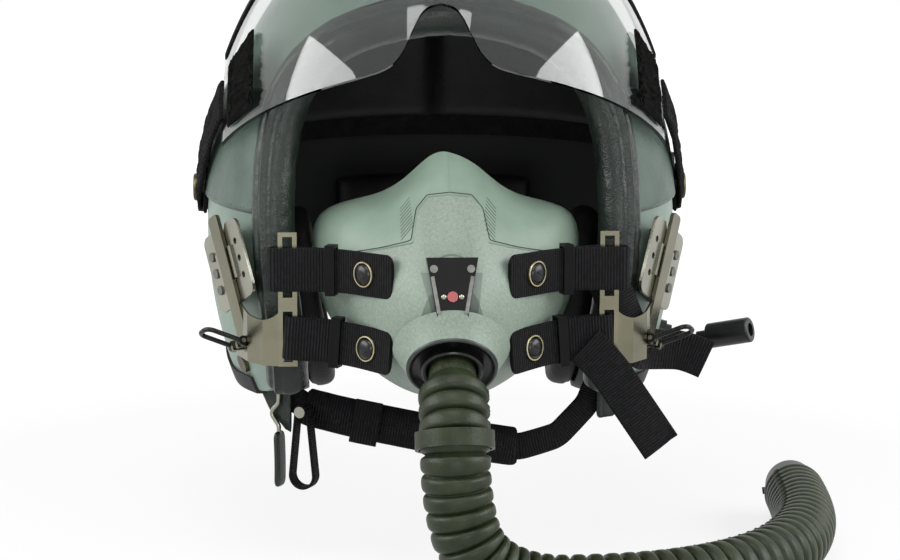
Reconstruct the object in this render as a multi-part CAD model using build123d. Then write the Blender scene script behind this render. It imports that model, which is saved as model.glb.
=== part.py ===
"""Pilot flight helmet: a hard shell with a clear visor, an oxygen mask and a breathing hose.

Millimetres. X points to the wearer's left, the face looks along -Y and +Z is up.
The origin lies midway between the ear cups, where the wearer's head sits.
"""
from build123d import *
from math import atan2, cos, degrees, radians, sin, sqrt, tan
import os

SIDES = {"left": 1, "right": -1}
MIDDLE = (Align.CENTER, Align.CENTER, Align.CENTER)
ON_BASE = (Align.CENTER, Align.CENTER, Align.MIN)

# Fits that many pieces share
fit_gap = 0.3
overrun = 12
soft_gap = 0.35

# Helmet shell: one ellipsoid, cut in side view by its front and lower edges
shell_half_width = 127
shell_half_depth = 148
shell_half_height = 175
shell_wall = 3
shell_centre_height = 10
front_edge_shares = [(-0.824, 0.811), (-0.682, 0.720), (-0.595, 0.606), (-0.568, 0.486), (-0.595, 0.331),
                     (-0.642, 0.126), (-0.662, -0.057), (-0.655, -0.257), (-0.595, -0.400), (-0.446, -0.457)]
lower_edge_shares = [(-0.446, -0.457), (-0.203, -0.463), (0.101, -0.411), (0.405, -0.320), (0.743, -0.274),
                     (1.081, -0.251)]

# Padded edge roll, leather side covers and the welt on the lower edge
roll_radius = 11.5
roll_lead = 5
roll_inset = 5
roll_edge_shares = [(-0.568, -0.430), (-0.632, -0.330), (-0.660, -0.190), (-0.662, -0.030), (-0.645, 0.126),
                    (-0.600, 0.310), (-0.568, 0.470), (-0.588, 0.590), (-0.638, 0.669), (-0.684, 0.722)]
cover_skin = 1.2
cover_back = -16
cover_bottom = 27
cover_top = 70
welt_width = 7
welt_lip = 2
welt_skin = 1.6

# Linings inside the shell
foam_thickness = 14
foam_bottom = 46
foam_setback = 17
comfort_thickness = 9
comfort_bottom = 58
comfort_setback = 24
comfort_channel = 7
nape_half_width = 58
nape_thickness = 16
nape_low = -26
nape_high = 22

# Ear cups
cup_half_depth = 38
cup_half_height = 50
cup_depth = 32
cup_wall = 2.5
cup_crown_share = 0.62
cup_face = 80
cup_height = -31
cup_setback = -6
cup_tilt = 9
seal_thickness = 15
seal_width = 15
seal_round = 5.5
earphone_radius = 20
earphone_thickness = 16
cup_pad_half_depth = 20
cup_pad_half_height = 26

# Visor: a wall turned about the hinge line through the two side snaps
hinge_height = 30
visor_half_width = 125.5
visor_radius = 168
visor_wall = 2.2
visor_cut_width = 116
visor_low_angle = 25.5
visor_high_angle = 80
nose_cut_top = 105.5
nose_cut_half_width = 17.5
nose_cut_flare = 30
nose_cut_flare_height = 17
nose_cut_round = 12
trim_skin = 1.3
trim_angle = 3
patch_thickness = 4
patch_inner = 98
patch_outer = 113
patch_low_angle = 28
patch_high_angle = 54

# Side tabs of the visor and the snaps that they turn on
band_gap = 0.3
band_thickness = 2.2
band_half_height = 13
tab_thickness = 2
tab_hub_radius = 13
tab_reach = 76
tab_half_width = 13
tab_angle = 44
snap_pin_radius = 3
snap_head_radius = 7.5
snap_head_thickness = 2.6
buckle_length = 34
buckle_height = 32
buckle_thickness = 3
buckle_bar = 4
buckle_setback = 34
pull_tab_length = 26
pull_tab_width = 20
pull_tab_thickness = 1.6

# Receivers that hold the mask's bayonets, laid out square to the shell's flank
receiver_depth = -84
receiver_height = 0
receiver_slant = 25
pad_shift = 7
pad_width = 22
pad_length = 34
pad_thickness = 3
spacer_thickness = 4.5
plate_size = 41
plate_thickness = 1.6
plate_round = 5
plate_notch_radius = 9
plate_notch_depth = 4
rail_height = 1.2
rail_width = 3
rail_length = 34
hole_radius = 1.7
hole_pitch = 9
hole_row_offset = 14
rivet_radius = 1.4
rivet_head_radius = 2.5
rivet_head_height = 1
rivet_gap = 0.15

# Bayonets: arm, bent scoop plate and front strap loop
arm_width = 10
arm_thickness = 2
arm_top = 27
arm_bottom = 44
arm_side_gap = 1.1
scoop_thickness = 1.6
scoop_top = -10
scoop_bottom = -46
scoop_dip_radius = 13
scoop_dip_x = 95
scoop_shares = [(0.8370, -0.6419), (0.7953, -0.7500), (0.7323, -0.8243), (0.6535, -0.8514)]
loop_outer_x = 85.5
loop_inner_x = 76
loop_depth = -126
loop_top = 22
loop_bar = 2.3
loop_cross_top = -11
loop_cross_bottom = -18

# Release levers: a bent wire that turns on a pin at the arm's foot
lever_wire_radius = 1.25
lever_length = 20
lever_half_width = 5.5
lever_lean = 62
lever_round = 4
lever_pin_radius = 1.2
lever_pin_length = 14.4
lever_pin_stand = 3.2
lever_lug_width = 2
lever_lug_offset = 2.8
lever_eye_radius = 2.6
lever_eye_width = 2.4
pin_gap = 0.15

# Mask: an outline in front view at each depth, lofted from the face to the front
mask_half_width = 66
mask_half_height = 62
mask_back = -72
mask_depth = 94
mask_level_shares = [0.0, 0.41, 0.69, 0.89, 1.0]
mask_section_shares = [
    [(0.0, 1.0), (0.30, 0.82), (0.64, 0.55), (0.97, 0.36),
     (1.0, -0.02), (0.91, -0.42), (0.68, -0.75), (0.33, -0.97)],
    [(0.0, 0.98), (0.22, 0.84), (0.46, 0.58), (0.82, 0.37),
     (0.90, -0.03), (0.80, -0.42), (0.59, -0.73), (0.30, -0.94)],
    [(0.0, 0.66), (0.16, 0.62), (0.34, 0.44), (0.55, 0.20),
     (0.62, -0.12), (0.56, -0.45), (0.42, -0.71), (0.22, -0.87)],
    [(0.0, 0.30), (0.13, 0.28), (0.25, 0.18), (0.35, 0.02),
     (0.39, -0.20), (0.36, -0.44), (0.27, -0.62), (0.14, -0.72)],
    [(0.0, 0.02), (0.09, 0.0), (0.16, -0.05), (0.20, -0.14),
     (0.22, -0.24), (0.20, -0.35), (0.15, -0.43), (0.08, -0.48)],
]
mask_foot_shares = [-1.02, -1.0, -0.91, -0.75, -0.49]
face_wall = 4
face_line_shares = [(-0.46, 1.2), (-0.42, 0.98), (-0.28, 0.72), (-0.07, 0.42), (0.0, 0.20), (0.02, -0.50),
                    (-0.14, -0.80), (-0.34, -1.2)]
hard_gap = 0.4
hard_wall = 2.6
hard_outline_shares = [(0.0, 0.68), (0.16, 0.66), (0.24, 0.56), (0.28, 0.32), (0.76, 0.17), (0.88, 0.05),
                       (0.88, -0.26), (0.72, -0.60), (0.52, -0.86), (0.32, -0.98), (0.0, -1.08)]

# Valve cover with its rails, screws and test button
cover_height = 29
cover_top_half_width = 12.5
cover_low_half_width = 7.5
cover_thickness = 4.5
cover_depth = -170.6
cover_centre_height = 0.5
cover_slope = 12
rail_proud = 0.8
cover_rail_width = 1.8
cover_screw_radius = 1.9
cover_screw_height = 0.7
cover_screw_offset = 9
button_radius = 2.6
button_proud = 0.9
button_travel = 1
button_length = 3
button_drop = 4.5

# Breathing valves
exhale_bore_radius = 9
exhale_seat_thickness = 2.4
exhale_seat_hole = 6.5
exhale_disc_thickness = 1
exhale_height = 6
inhale_seat_thickness = 3
inhale_seat_hole = 13
inhale_spoke = 2.4
inhale_disc_thickness = 1
inhale_disc_radius = 15
valve_gap = 0.3
microphone_radius = 11
microphone_thickness = 8
microphone_height = -20

# Inlet ring on the mask's front
ring_depth = -165
ring_height = -36
ring_slope = 40
ring_radius = 22.5
ring_bore = 17.9
ring_back = 13
ring_front = 6
ring_lip = 2.2
ring_lip_length = 4
hose_neck_radius = 13
socket_wall = 2.2
socket_proud = 1.5

# Mask straps: flat webbing, drawn in plan view, with keepers and round fasteners
strap_thickness = 2
strap_width = 22
upper_strap_height = 3.5
lower_strap_height = -31.5
lower_strap_slope = 4
upper_strap_shares = [
    (0.2205, -1.0608), (0.2677, -1.0338), (0.4173, -0.9027), (0.5039, -0.8824), (0.6850, -0.8764),
    (0.7008, -0.8514), (0.6850, -0.8257), (0.5906, -0.8257), (0.5197, -0.8595), (0.4488, -0.8784)
]
lower_strap_shares = [
    (0.2283, -1.0574), (0.2677, -1.0169), (0.3937, -0.9054), (0.4882, -0.8797), (0.5827, -0.8757),
    (0.6354, -0.8649), (0.6354, -0.8345), (0.5906, -0.8230), (0.5039, -0.8541), (0.4409, -0.8736)
]
keeper_length = 5
keeper_skin = 1.3
keeper_share = 0.55
strap_layer_gap = 0.6
ring_fastener_share = 0.42
ring_fastener_radius = 6.5
ring_fastener_height = 1.6
dome_radius = 4.2
dome_height = 2

# Chin strap: its middle line in front view and its depth in plan view
chin_width = 14.5
chin_thickness = 2.4
chin_line_shares = [(-0.72, -0.34), (-0.66, -0.42), (-0.57, -0.455), (0.30, -0.565), (0.47, -0.54),
                    (0.60, -0.455), (0.67, -0.34)]
chin_depth_shares = [(-0.80, -0.34), (-0.61, -0.42), (-0.40, -0.50), (0.0, -0.56), (0.35, -0.53),
                     (0.56, -0.44), (0.80, -0.30)]
chin_pad_width = 21
chin_pad_skin = 1.6
chin_pad_right = -73
chin_pad_left = 43
chin_flap_width = 24
chin_flap_thickness = 1.6
chin_flap_right = -46
chin_flap_left = -32

# Leather tabs that hold the chin strap to the ear flaps, with a snap on the left one
ear_tab_thickness = 2.4
ear_tab_inner = 79
ear_tab_outer = 97
ear_tab_top = -40
ear_tab_low = -88
ear_tab_right_low = -99
ear_tab_snap_radius = 5
ear_tab_snap_height = 2
ear_snap_depth = -62
ear_snap_height = -56

# Wire hook with a leather pull, and a webbing loop, both hanging from the chin strap
stud_radius = 1.6
stud_head_radius = 3
stud_head_height = 1.2
stud_gap = 0.3
hook_place_shares = (-0.6693, -0.3771)
hook_wire_radius = 1.2
hook_eye_radius = 4.2
hook_drop = 34
hook_kink = 5
hook_round = 3.5
hook_pull_length = 30
hook_pull_width = 10
hook_pull_thickness = 3
hook_pull_round = 1.2
loop_place_shares = (-0.5591, -0.4571)
loop_band_thickness = 1.8
loop_band_width = 8
loop_top_radius = 4
loop_low_radius = 7.5
loop_drop = 34

# Loose ends of the mask straps on the wearer's left, in plan view and as heights along their way
tail_thickness = 1.6
tail_width = 21
upper_tail_shares = [
    (0.6220, -0.8081), (0.6929, -0.7939), (0.7748, -0.7230), (0.8031, -0.6554), (0.8465, -0.5946),
    (0.9134, -0.5473), (0.9921, -0.5270), (1.0551, -0.5338)
]
upper_fall_shares = [
    (0.6063, 0.0114), (0.6535, -0.0514), (0.7087, -0.1543), (0.7717, -0.2343),
    (0.8425, -0.2600), (0.9134, -0.2686), (0.9921, -0.2743), (1.0787, -0.3029)
]
lower_tail_shares = [
    (0.5039, -0.8966), (0.5827, -0.8946), (0.7087, -0.8818), (0.8189, -0.8581), (0.8819, -0.8311)
]
lower_fall_shares = [(0.5354, -0.2000), (0.6142, -0.2514), (0.7087, -0.3543), (0.8504, -0.5086)]

# Breathing hose: ribs on a fixed route along the floor, then its cuff and end fitting
hose_radius = 17
hose_root_radius = 14.4
hose_bore_radius = 12.5
hose_pitch = 8.5
hose_crest_share = 0.40
hose_slope_share = 0.20
hose_start = 9.5
hose_first_run = 34
hose_line = [(1, -200, -98), (9, -201, -127), (36, -197, -143), (72, -196, -143), (108, -188, -143),
             (143, -167, -143), (171, -134, -143), (188, -91, -143), (196, -47, -143), (198, -6, -143)]
hose_bend = 60
hose_steady_shares = (0.7, -0.7, 0.1)
collar_length = 9
collar_thickness = 1.8
collar_web = 1.2
collar_teeth = 28
collar_tooth = 0.8
clamp_length = 8.5
clamp_thickness = 1.6
clamp_gap = 0.6
clamp_place_share = 0.09
clamp_clip_length = 11
clamp_clip_height = 6
cuff_radius = 16
cuff_length = 20
connector_radius = 14
connector_bore = 10
connector_length = 22
connector_flange_radius = 16.5
connector_flange_length = 4
connector_lug_radius = 2

# Communication lead on the left flank: a gland, a short stiff lead and its jack
gland_depth = -12
gland_height = -48
gland_radius = 5.5
gland_length = 7
gland_step_share = 0.55
lead_radius = 2.2
lead_line = [(135.5, -26, -52), (128.4, -47.8, -48)]
lead_first_run = 9
jack_radius = 6.7
jack_length = 24
jack_neck_radius = 3.4
jack_neck_length = 6
jack_tip_length = 3
jack_socket_radius = 3.6
jack_socket_depth = 14
jack_aim = (0.86, -0.45, 0.22)


def dome(inset):
    """The shell's ellipsoid, drawn in by an inset, or grown where the inset is negative."""
    sizes = (shell_half_width - inset, shell_half_depth - inset, shell_half_height - inset)
    return Pos(0, 0, shell_centre_height) * scale(Sphere(1), by=sizes)


def flank(depth, height):
    """Half-width of the shell's outside at a place in side view."""
    rise = (height - shell_centre_height) / shell_half_height
    return shell_half_width * sqrt(1 - (depth / shell_half_depth) ** 2 - rise ** 2)


def shell_normal(point):
    """Outward direction of the shell's outside at a point on it."""
    return Vector(point.X / shell_half_width ** 2, point.Y / shell_half_depth ** 2,
                  (point.Z - shell_centre_height) / shell_half_height ** 2).normalized()


def both(shape):
    """A left piece and its mirror image on the right, as separate solids."""
    return Compound(children=[*shape.solids(), *mirror(shape, about=Plane.YZ).solids()])


def face_of(points):
    """Flat face inside a closed run of straight lines through 3D points."""
    return make_face(Polyline(*points, close=True))


def prism_front(outline, rear, front):
    """Prism of a front view outline of (x, z) points, from one depth to another."""
    return extrude(face_of([(x, rear, z) for x, z in outline]), amount=rear - front, dir=(0, -1, 0))


def prism_side(outline, inner, outer):
    """Prism of a side view outline of (y, z) points, between two places across."""
    return extrude(face_of([(inner, y, z) for y, z in outline]), amount=outer - inner, dir=(1, 0, 0))


def prism_plan(outline, low, high):
    """Prism of a plan view outline of (x, y) points, between two heights."""
    return extrude(face_of([(x, y, low) for x, y in outline]), amount=high - low, dir=(0, 0, 1))


def plan_places(shares):
    """Plan view points from shares of the shell's half width and half depth."""
    return [(across * shell_half_width, depth * shell_half_depth) for across, depth in shares]


def front_places(shares):
    """Front view points from shares of the shell's half width and half height."""
    return [(across * shell_half_width, rise * shell_half_height) for across, rise in shares]


def ribbon(line, thickness, shift=0):
    """Outline of a band of one thickness beside a line of 2D points, mitred at its corners."""
    points = [Vector(*point) for point in line]
    one_side, other_side = [], []
    for index, point in enumerate(points):
        before = (point - points[index - 1]).normalized() if index else None
        after = (points[index + 1] - point).normalized() if index < len(points) - 1 else before
        before = before or after
        across = (before + after).normalized().rotate(Axis.Z, 90)
        mitre = across / across.dot(before.rotate(Axis.Z, 90))
        left, right = point + mitre * (shift + thickness / 2), point + mitre * (shift - thickness / 2)
        one_side.append((left.X, left.Y))
        other_side.append((right.X, right.Y))
    return one_side + other_side[::-1]


def easy_radii(points, largest=None):
    """Corner radii of a route: 0.45 of the shorter run over the tangent of half the turn."""
    radii = []
    for before, corner, after in zip(points, points[1:], points[2:]):
        into, out = corner - before, after - corner
        half_turn = radians(into.get_angle(out)) / 2
        radius = 0.45 * min(into.length, out.length) / tan(half_turn)
        radii.append(min(radius, largest) if largest else radius)
    return radii


def route(points, largest=None):
    """Path of straight runs joined by tangent arcs."""
    corners = [Vector(*point) for point in points]
    return FilletPolyline(*corners, radius=easy_radii(corners, largest))


def tube(points, radius, largest=None):
    """Round bar along a route."""
    path = route(points, largest)
    start = Plane(origin=path @ 0, z_dir=path % 0)
    return sweep(start * Circle(radius), path=path)


def shell_side():
    """Everything behind the shell's front edge and above its lower edge."""
    def place(shares):
        depth, height = shares
        return Vector(0, depth * shell_half_depth, shell_centre_height + height * shell_half_height)
    front = Spline(*[place(shares) for shares in front_edge_shares])
    lower = Spline(*[place(shares) for shares in lower_edge_shares], tangents=[front % 1, Vector(0, 1, 0)])
    top = shell_half_height + shell_half_depth
    corners = [place(lower_edge_shares[-1]), Vector(0, shell_half_depth + shell_half_depth, 0),
               Vector(0, shell_half_depth + shell_half_depth, top), Vector(0, -shell_half_depth, top),
               place(front_edge_shares[0])]
    return extrude(make_face(front + lower + Polyline(*corners)), amount=shell_half_width * 2, dir=(1, 0, 0),
                   both=True)


def box_between(low, high):
    """Block between two opposite corners."""
    sizes = [end - start for start, end in zip(low, high)]
    centre = [(start + end) / 2 for start, end in zip(low, high)]
    return Pos(*centre) * Box(*sizes)


far = shell_half_depth * 2
side_view = shell_side()

# Where the receiver sits on the left flank: its X runs rearwards, its Y up the arm, its Z outwards
receiver_point = Vector(flank(receiver_depth, receiver_height), receiver_depth, receiver_height)
receiver_out = shell_normal(receiver_point)
receiver_forward = receiver_out.cross(Vector(0, 0, 1)).normalized()
receiver_up = receiver_forward.cross(receiver_out)
arm_up = receiver_up * cos(radians(receiver_slant)) - receiver_forward * sin(radians(receiver_slant))
receiver_plane = Plane(origin=receiver_point, x_dir=arm_up.cross(receiver_out), z_dir=receiver_out)
receiver_stack = pad_thickness + spacer_thickness + plate_thickness
rivet_places = [(hole_row_offset, step * hole_pitch) for step in (-1, 0, 1)]


def rivet_holes():
    """Bores for the rivets through plate, spacer, pad and shell."""
    bores = [Pos(x, y, 0) * Cylinder(rivet_radius + rivet_gap, overrun * 4) for x, y in rivet_places]
    return receiver_plane.location * Compound(children=bores)


def outer_shell():
    wall = (dome(0) - dome(shell_wall)) & side_view
    holes = rivet_holes()
    wall -= holes
    return wall - mirror(holes, about=Plane.YZ)


def roll_line():
    """Middle line of the padded edge roll, from the left ear flap over the brow to the right."""
    places = []
    for depth_share, height_share in roll_edge_shares:
        depth = depth_share * shell_half_depth
        height = shell_centre_height + height_share * shell_half_height
        places.append(Vector(flank(depth, height), depth, height))
    line = []
    for index, place in enumerate(places):
        along = (places[min(index + 1, len(places) - 1)] - places[max(index - 1, 0)]).normalized()
        out = shell_normal(place)
        forward = along.cross(out).normalized()
        forward = forward if forward.Y < 0 else -forward
        line.append(place + forward * roll_lead - out * roll_inset)
    mirrored = [Vector(-point.X, point.Y, point.Z) for point in reversed(line)]
    return line + mirrored


def edge_roll():
    roll = tube(roll_line(), roll_radius)
    seat = (dome(-soft_gap) - dome(shell_wall + soft_gap)) & (Pos(0, -soft_gap, 0) * side_view)
    return largest_of(roll - seat)


def largest_of(shape):
    """The largest solid of a cut shape."""
    return max(shape.solids(), key=lambda solid: solid.volume)


def side_covers():
    skin = dome(-fit_gap - cover_skin) - dome(-fit_gap)
    foremost = min(share for share, height in front_edge_shares[4:8])
    front = foremost * shell_half_depth + roll_radius + roll_lead
    left = skin & box_between((0, front, cover_bottom), (far, cover_back, cover_top))
    return both(left)


def shell_welt():
    """Welt on the shell's lower edge behind the ear flaps: an outer band and a lip under the wall."""
    start = front_edge_shares[-1][0] * shell_half_depth
    behind = box_between((-far, start, -shell_half_height), (far, shell_half_depth * 1.5, 0))
    zone = (behind & (Pos(0, 0, -welt_lip) * side_view)) - (Pos(0, 0, welt_width) * side_view)
    core = dome(-fit_gap) & (Pos(0, 0, -fit_gap) * side_view)
    return (zone & dome(-welt_skin)) - dome(shell_wall) - core


def foam_liner():
    outer = shell_wall + soft_gap
    region = (Pos(0, foam_setback, 0) * side_view) & box_between((-far, -far, foam_bottom), (far, far, far))
    return (dome(outer) - dome(outer + foam_thickness)) & region


def comfort_liner():
    outer = shell_wall + soft_gap + foam_thickness + soft_gap
    above = box_between((-far, -far, comfort_bottom), (far, far, far))
    region = (Pos(0, comfort_setback, 0) * side_view) & above
    pad = (dome(outer) - dome(outer + comfort_thickness)) & region
    groove = dome(outer + comfort_thickness / 2)
    across = box_between((-far, -comfort_channel / 2, 0), (far, comfort_channel / 2, far))
    along = box_between((-comfort_channel / 2, -far, 0), (comfort_channel / 2, far, far))
    return pad - (groove & (across + along))


def nape_pad():
    outer = shell_wall + soft_gap
    region = box_between((-nape_half_width, 0, nape_low), (nape_half_width, far, nape_high))
    pad = (dome(outer) - dome(outer + nape_thickness)) & region
    return pad


def cup_place():
    """Frame of the left ear cup: its Z runs outwards from the face of its seal."""
    tilt = radians(cup_tilt)
    out = (cos(tilt), 0, -sin(tilt))
    return Plane(origin=(cup_face, cup_setback, cup_height), x_dir=(0, -1, 0), z_dir=out)


def ellipse_at(half_depth, half_height, out):
    return cup_place().offset(out) * Ellipse(half_depth, half_height)


def ear_cup():
    crown_depth, crown_height = cup_half_depth * cup_crown_share, cup_half_height * cup_crown_share
    outer = loft([ellipse_at(cup_half_depth, cup_half_height, 0),
                  ellipse_at(cup_half_depth, cup_half_height, cup_depth / 2),
                  ellipse_at(crown_depth, crown_height, cup_depth)])
    inside_depth, inside_height = cup_half_depth - cup_wall, cup_half_height - cup_wall
    inner = loft([ellipse_at(inside_depth, inside_height, 0),
                  ellipse_at(inside_depth, inside_height, cup_depth / 2 - cup_wall),
                  ellipse_at(crown_depth - cup_wall, crown_height - cup_wall, cup_depth - cup_wall)])
    return outer - inner


def ear_seal():
    """Crowned ring cushion on the cup's open face."""
    ring = ellipse_at(cup_half_depth, cup_half_height, -soft_gap)
    ring -= ellipse_at(cup_half_depth - seal_width, cup_half_height - seal_width, -soft_gap)
    solid = extrude(ring, amount=-seal_thickness)
    rims = solid.edges().sort_by(Axis(cup_place().origin, cup_place().z_dir))[:2]
    return fillet(rims, seal_round)


def earphone():
    place = cup_place().offset(cup_depth - cup_wall - fit_gap - earphone_thickness)
    return place.location * Cylinder(earphone_radius, earphone_thickness, align=ON_BASE)


def cup_pad():
    """Wedge between the ear cup's crown and the shell."""
    start = cup_depth + fit_gap
    blank = extrude(ellipse_at(cup_pad_half_depth, cup_pad_half_height, start), amount=cup_depth)
    return blank & dome(shell_wall + soft_gap) & (Pos(0, 0, welt_width + soft_gap) * side_view)


# Visor surfaces are turned about this line
hinge = Axis((0, 0, hinge_height), (1, 0, 0))
low_plane = Plane(origin=(0, 0, hinge_height), x_dir=(1, 0, 0),
                  z_dir=(0, sin(radians(visor_low_angle)), cos(radians(visor_low_angle))))


def plane_at(angle):
    """Plane through the hinge line: its X runs along the line, its Y forwards and up by the angle."""
    turn = radians(angle)
    return Plane(origin=(0, 0, hinge_height), x_dir=(1, 0, 0), z_dir=(0, -sin(turn), -cos(turn)))


def turned(face, start, end):
    """Solid of a face drawn on a plane through the hinge line, turned from one angle up to another."""
    return revolve(plane_at(start) * face, axis=hinge, revolution_arc=start - end)


def visor_ring(grow_in, grow_out, half_width):
    """Section of the visor's wall: an elliptical strip, made thicker inwards or outwards."""
    outside = Ellipse(visor_half_width + visor_wall + grow_out, visor_radius + visor_wall + grow_out)
    inside = Ellipse(visor_half_width - grow_in, visor_radius - grow_in)
    window = Rectangle(half_width * 2, visor_radius * 2, align=(Align.CENTER, Align.MIN))
    return (outside - inside) & window


def nose_notch():
    """Cut for the nose: a round-topped slot that flares at the lens's lower edge."""
    top = hinge_height + nose_cut_top
    low = top - visor_radius
    flare = top - nose_cut_flare_height
    half = [(0, top), (nose_cut_half_width, top), (nose_cut_half_width, flare), (nose_cut_flare, low)]
    outline = half + [(-x, z) for x, z in half[:0:-1]]
    notch = prism_front(outline, 0, -far)
    lowest = flare - nose_cut_flare_height
    crowns = [edge for edge in notch.edges().filter_by(Axis.Y) if edge.center().Z > lowest]
    return fillet(crowns, nose_cut_round)


def visor_lens():
    lens = turned(visor_ring(0, 0, visor_cut_width), visor_low_angle, visor_high_angle)
    return lens - nose_notch()


def visor_trim():
    strip = turned(visor_ring(trim_skin, trim_skin, visor_cut_width), visor_high_angle - trim_angle,
                   visor_high_angle + trim_angle / 6)
    slot = turned(visor_ring(fit_gap, fit_gap, visor_half_width), visor_high_angle - trim_angle * 2,
                  visor_high_angle)
    return strip - slot


def visor_patches():
    strip = visor_ring(-visor_wall - fit_gap, patch_thickness, visor_half_width)
    width = patch_outer - patch_inner
    strip &= Pos(patch_inner, 0) * Rectangle(width, visor_radius * 2, align=(Align.MIN, Align.CENTER))
    return both(turned(strip, patch_low_angle, patch_high_angle))


strap_outside = shell_half_width + band_gap + band_thickness
tab_inside = strap_outside + fit_gap


def visor_tab():
    """Side tab from the snap on the hinge line out to the lens's side edge."""
    def lens_x(radius):
        outside = visor_half_width + visor_wall + fit_gap
        return outside * sqrt(1 - (radius / (visor_radius + visor_wall)) ** 2)
    edge_x = lens_x(tab_reach)
    skirt_radius = (tab_reach + tab_hub_radius * 3) / 2
    skirt_x = lens_x(skirt_radius)
    inner = [(tab_inside, 0), (tab_inside, tab_hub_radius), (skirt_x + fit_gap, skirt_radius),
             (edge_x + fit_gap, tab_reach)]
    outline = inner + [(x + tab_thickness, r) for x, r in reversed(inner)]
    plate = revolve(plane_at(0) * make_face(Polyline(*outline, close=True)), axis=hinge)
    strip = Rectangle(tab_reach * 2, tab_half_width * 2, align=(Align.MIN, Align.CENTER))
    strip += Circle(tab_hub_radius)
    side = Plane(origin=(0, 0, hinge_height), x_dir=(0, -cos(radians(tab_angle)), sin(radians(tab_angle))),
                 z_dir=(-1, 0, 0))
    window = extrude(side * strip, amount=-far)
    bore = Rot(0, 90, 0) * Cylinder(snap_pin_radius + fit_gap, overrun * 2)
    return (plate & window) - Pos(strap_outside, 0, hinge_height) * bore


def pivot_snap():
    """Stud that holds the strap and the visor's tab: a pin on the shell with a round head."""
    length = tab_inside + tab_thickness + fit_gap - shell_half_width
    stand = Pos(shell_half_width, 0, hinge_height) * Rot(0, 90, 0)
    pin = stand * Cylinder(snap_pin_radius, length, align=ON_BASE)
    head = stand * Pos(0, 0, length) * Cylinder(snap_head_radius, snap_head_thickness, align=ON_BASE)
    stud = pin + fillet(head.edges().sort_by(Axis.X)[-1], snap_head_thickness / 2)
    return stud - dome(0)


def visor_strap():
    """Elastic strap round the back of the shell from one snap to the other."""
    front = -snap_head_radius * 2
    region = box_between((-far, front, hinge_height - band_half_height),
                         (far, far, hinge_height + band_half_height))
    band = (dome(-band_gap - band_thickness) - dome(-band_gap)) & region
    bore = Pos(0, 0, hinge_height) * Rot(0, 90, 0) * Cylinder(snap_pin_radius + fit_gap, far)
    return band - bore


def strap_place(depth):
    """Frame on the strap's outside at a depth: its X runs rearwards, its Z outwards."""
    half_width = shell_half_width + band_gap + band_thickness
    half_depth = shell_half_depth + band_gap + band_thickness
    rise = (hinge_height - shell_centre_height) / (shell_half_height + band_gap + band_thickness)
    across = half_width * sqrt(1 - (depth / half_depth) ** 2 - rise ** 2)
    out = Vector(across / half_width ** 2, depth / half_depth ** 2, rise / shell_half_height).normalized()
    return Plane(origin=(across, depth, hinge_height), x_dir=Vector(0, 0, 1).cross(out), z_dir=out)


def strap_buckle():
    """Three-bar slider on the strap behind the snap."""
    frame = Box(buckle_length, buckle_height, buckle_thickness, align=ON_BASE)
    window_length = (buckle_length - buckle_bar * 3) / 2
    window = Box(window_length, buckle_height - buckle_bar * 2, buckle_thickness * 3)
    step = (window_length + buckle_bar) / 2
    frame -= Pos(step, 0, 0) * window
    frame -= Pos(-step, 0, 0) * window
    seat = strap_place(buckle_setback).offset(fit_gap + buckle_sagitta())
    return seat.location * frame


def buckle_sagitta():
    """How far the strap's curve falls away at the buckle's ends, which keeps the frame clear of it."""
    return fit_gap


def pull_tab():
    """Folded end of the strap that sticks out behind the slider."""
    start = strap_place(buckle_setback).offset(buckle_sagitta() + fit_gap + buckle_thickness + fit_gap)
    flat = Box(pull_tab_length, pull_tab_width, pull_tab_thickness, align=ON_BASE)
    return start.location * Pos(pull_tab_length / 4, 0, 0) * flat


def receiver_pad():
    blank = Pos(pad_shift, 0, -overrun) * Box(pad_width, pad_length, overrun + pad_thickness, align=ON_BASE)
    return receiver_plane.location * blank - dome(-soft_gap) - rivet_holes()


def receiver_spacer():
    blank = Pos(pad_shift, 0, pad_thickness) * Box(pad_width, pad_length, spacer_thickness, align=ON_BASE)
    return receiver_plane.location * blank - rivet_holes()


def receiver_plate():
    sheet = RectangleRounded(plate_size, plate_size, plate_round)
    notch = Circle(plate_notch_radius)
    step = plate_size / 2 + plate_notch_radius - plate_notch_depth
    sheet -= Pos(0, step) * notch
    sheet -= Pos(0, -step) * notch
    for x in (-hole_row_offset, hole_row_offset):
        for count in (-1, 0, 1):
            sheet -= Pos(x, count * hole_pitch) * Circle(hole_radius)
    plate = Pos(0, 0, pad_thickness + spacer_thickness) * extrude(sheet, amount=plate_thickness)
    rail_x = arm_width / 2 + arm_side_gap + rail_width / 2
    for x in (-rail_x, rail_x):
        plate += Pos(x, 0, receiver_stack) * Box(rail_width, rail_length / 2, rail_height, align=ON_BASE)
    return receiver_plane.location * plate


def receiver_rivets():
    """Rivets from the plate through spacer, pad and shell, headed at both ends."""
    rivets = []
    for x, y in rivet_places:
        low = -shell_wall - overrun / 4
        shank = Pos(x, y, low) * Cylinder(rivet_radius, receiver_stack - low, align=ON_BASE)
        head = Pos(x, y, receiver_stack) * Cylinder(rivet_head_radius, rivet_head_height, align=ON_BASE)
        tail = Pos(x, y, low) * Cylinder(rivet_head_radius, rivet_head_height, align=ON_BASE)
        rivets.append(receiver_plane.location * (shank + head + tail))
    return Compound(children=rivets)


arm_level = receiver_stack + fit_gap
foot_y = -arm_bottom + lever_eye_radius
lever_pin_level = arm_level + arm_thickness + lever_pin_stand


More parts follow.
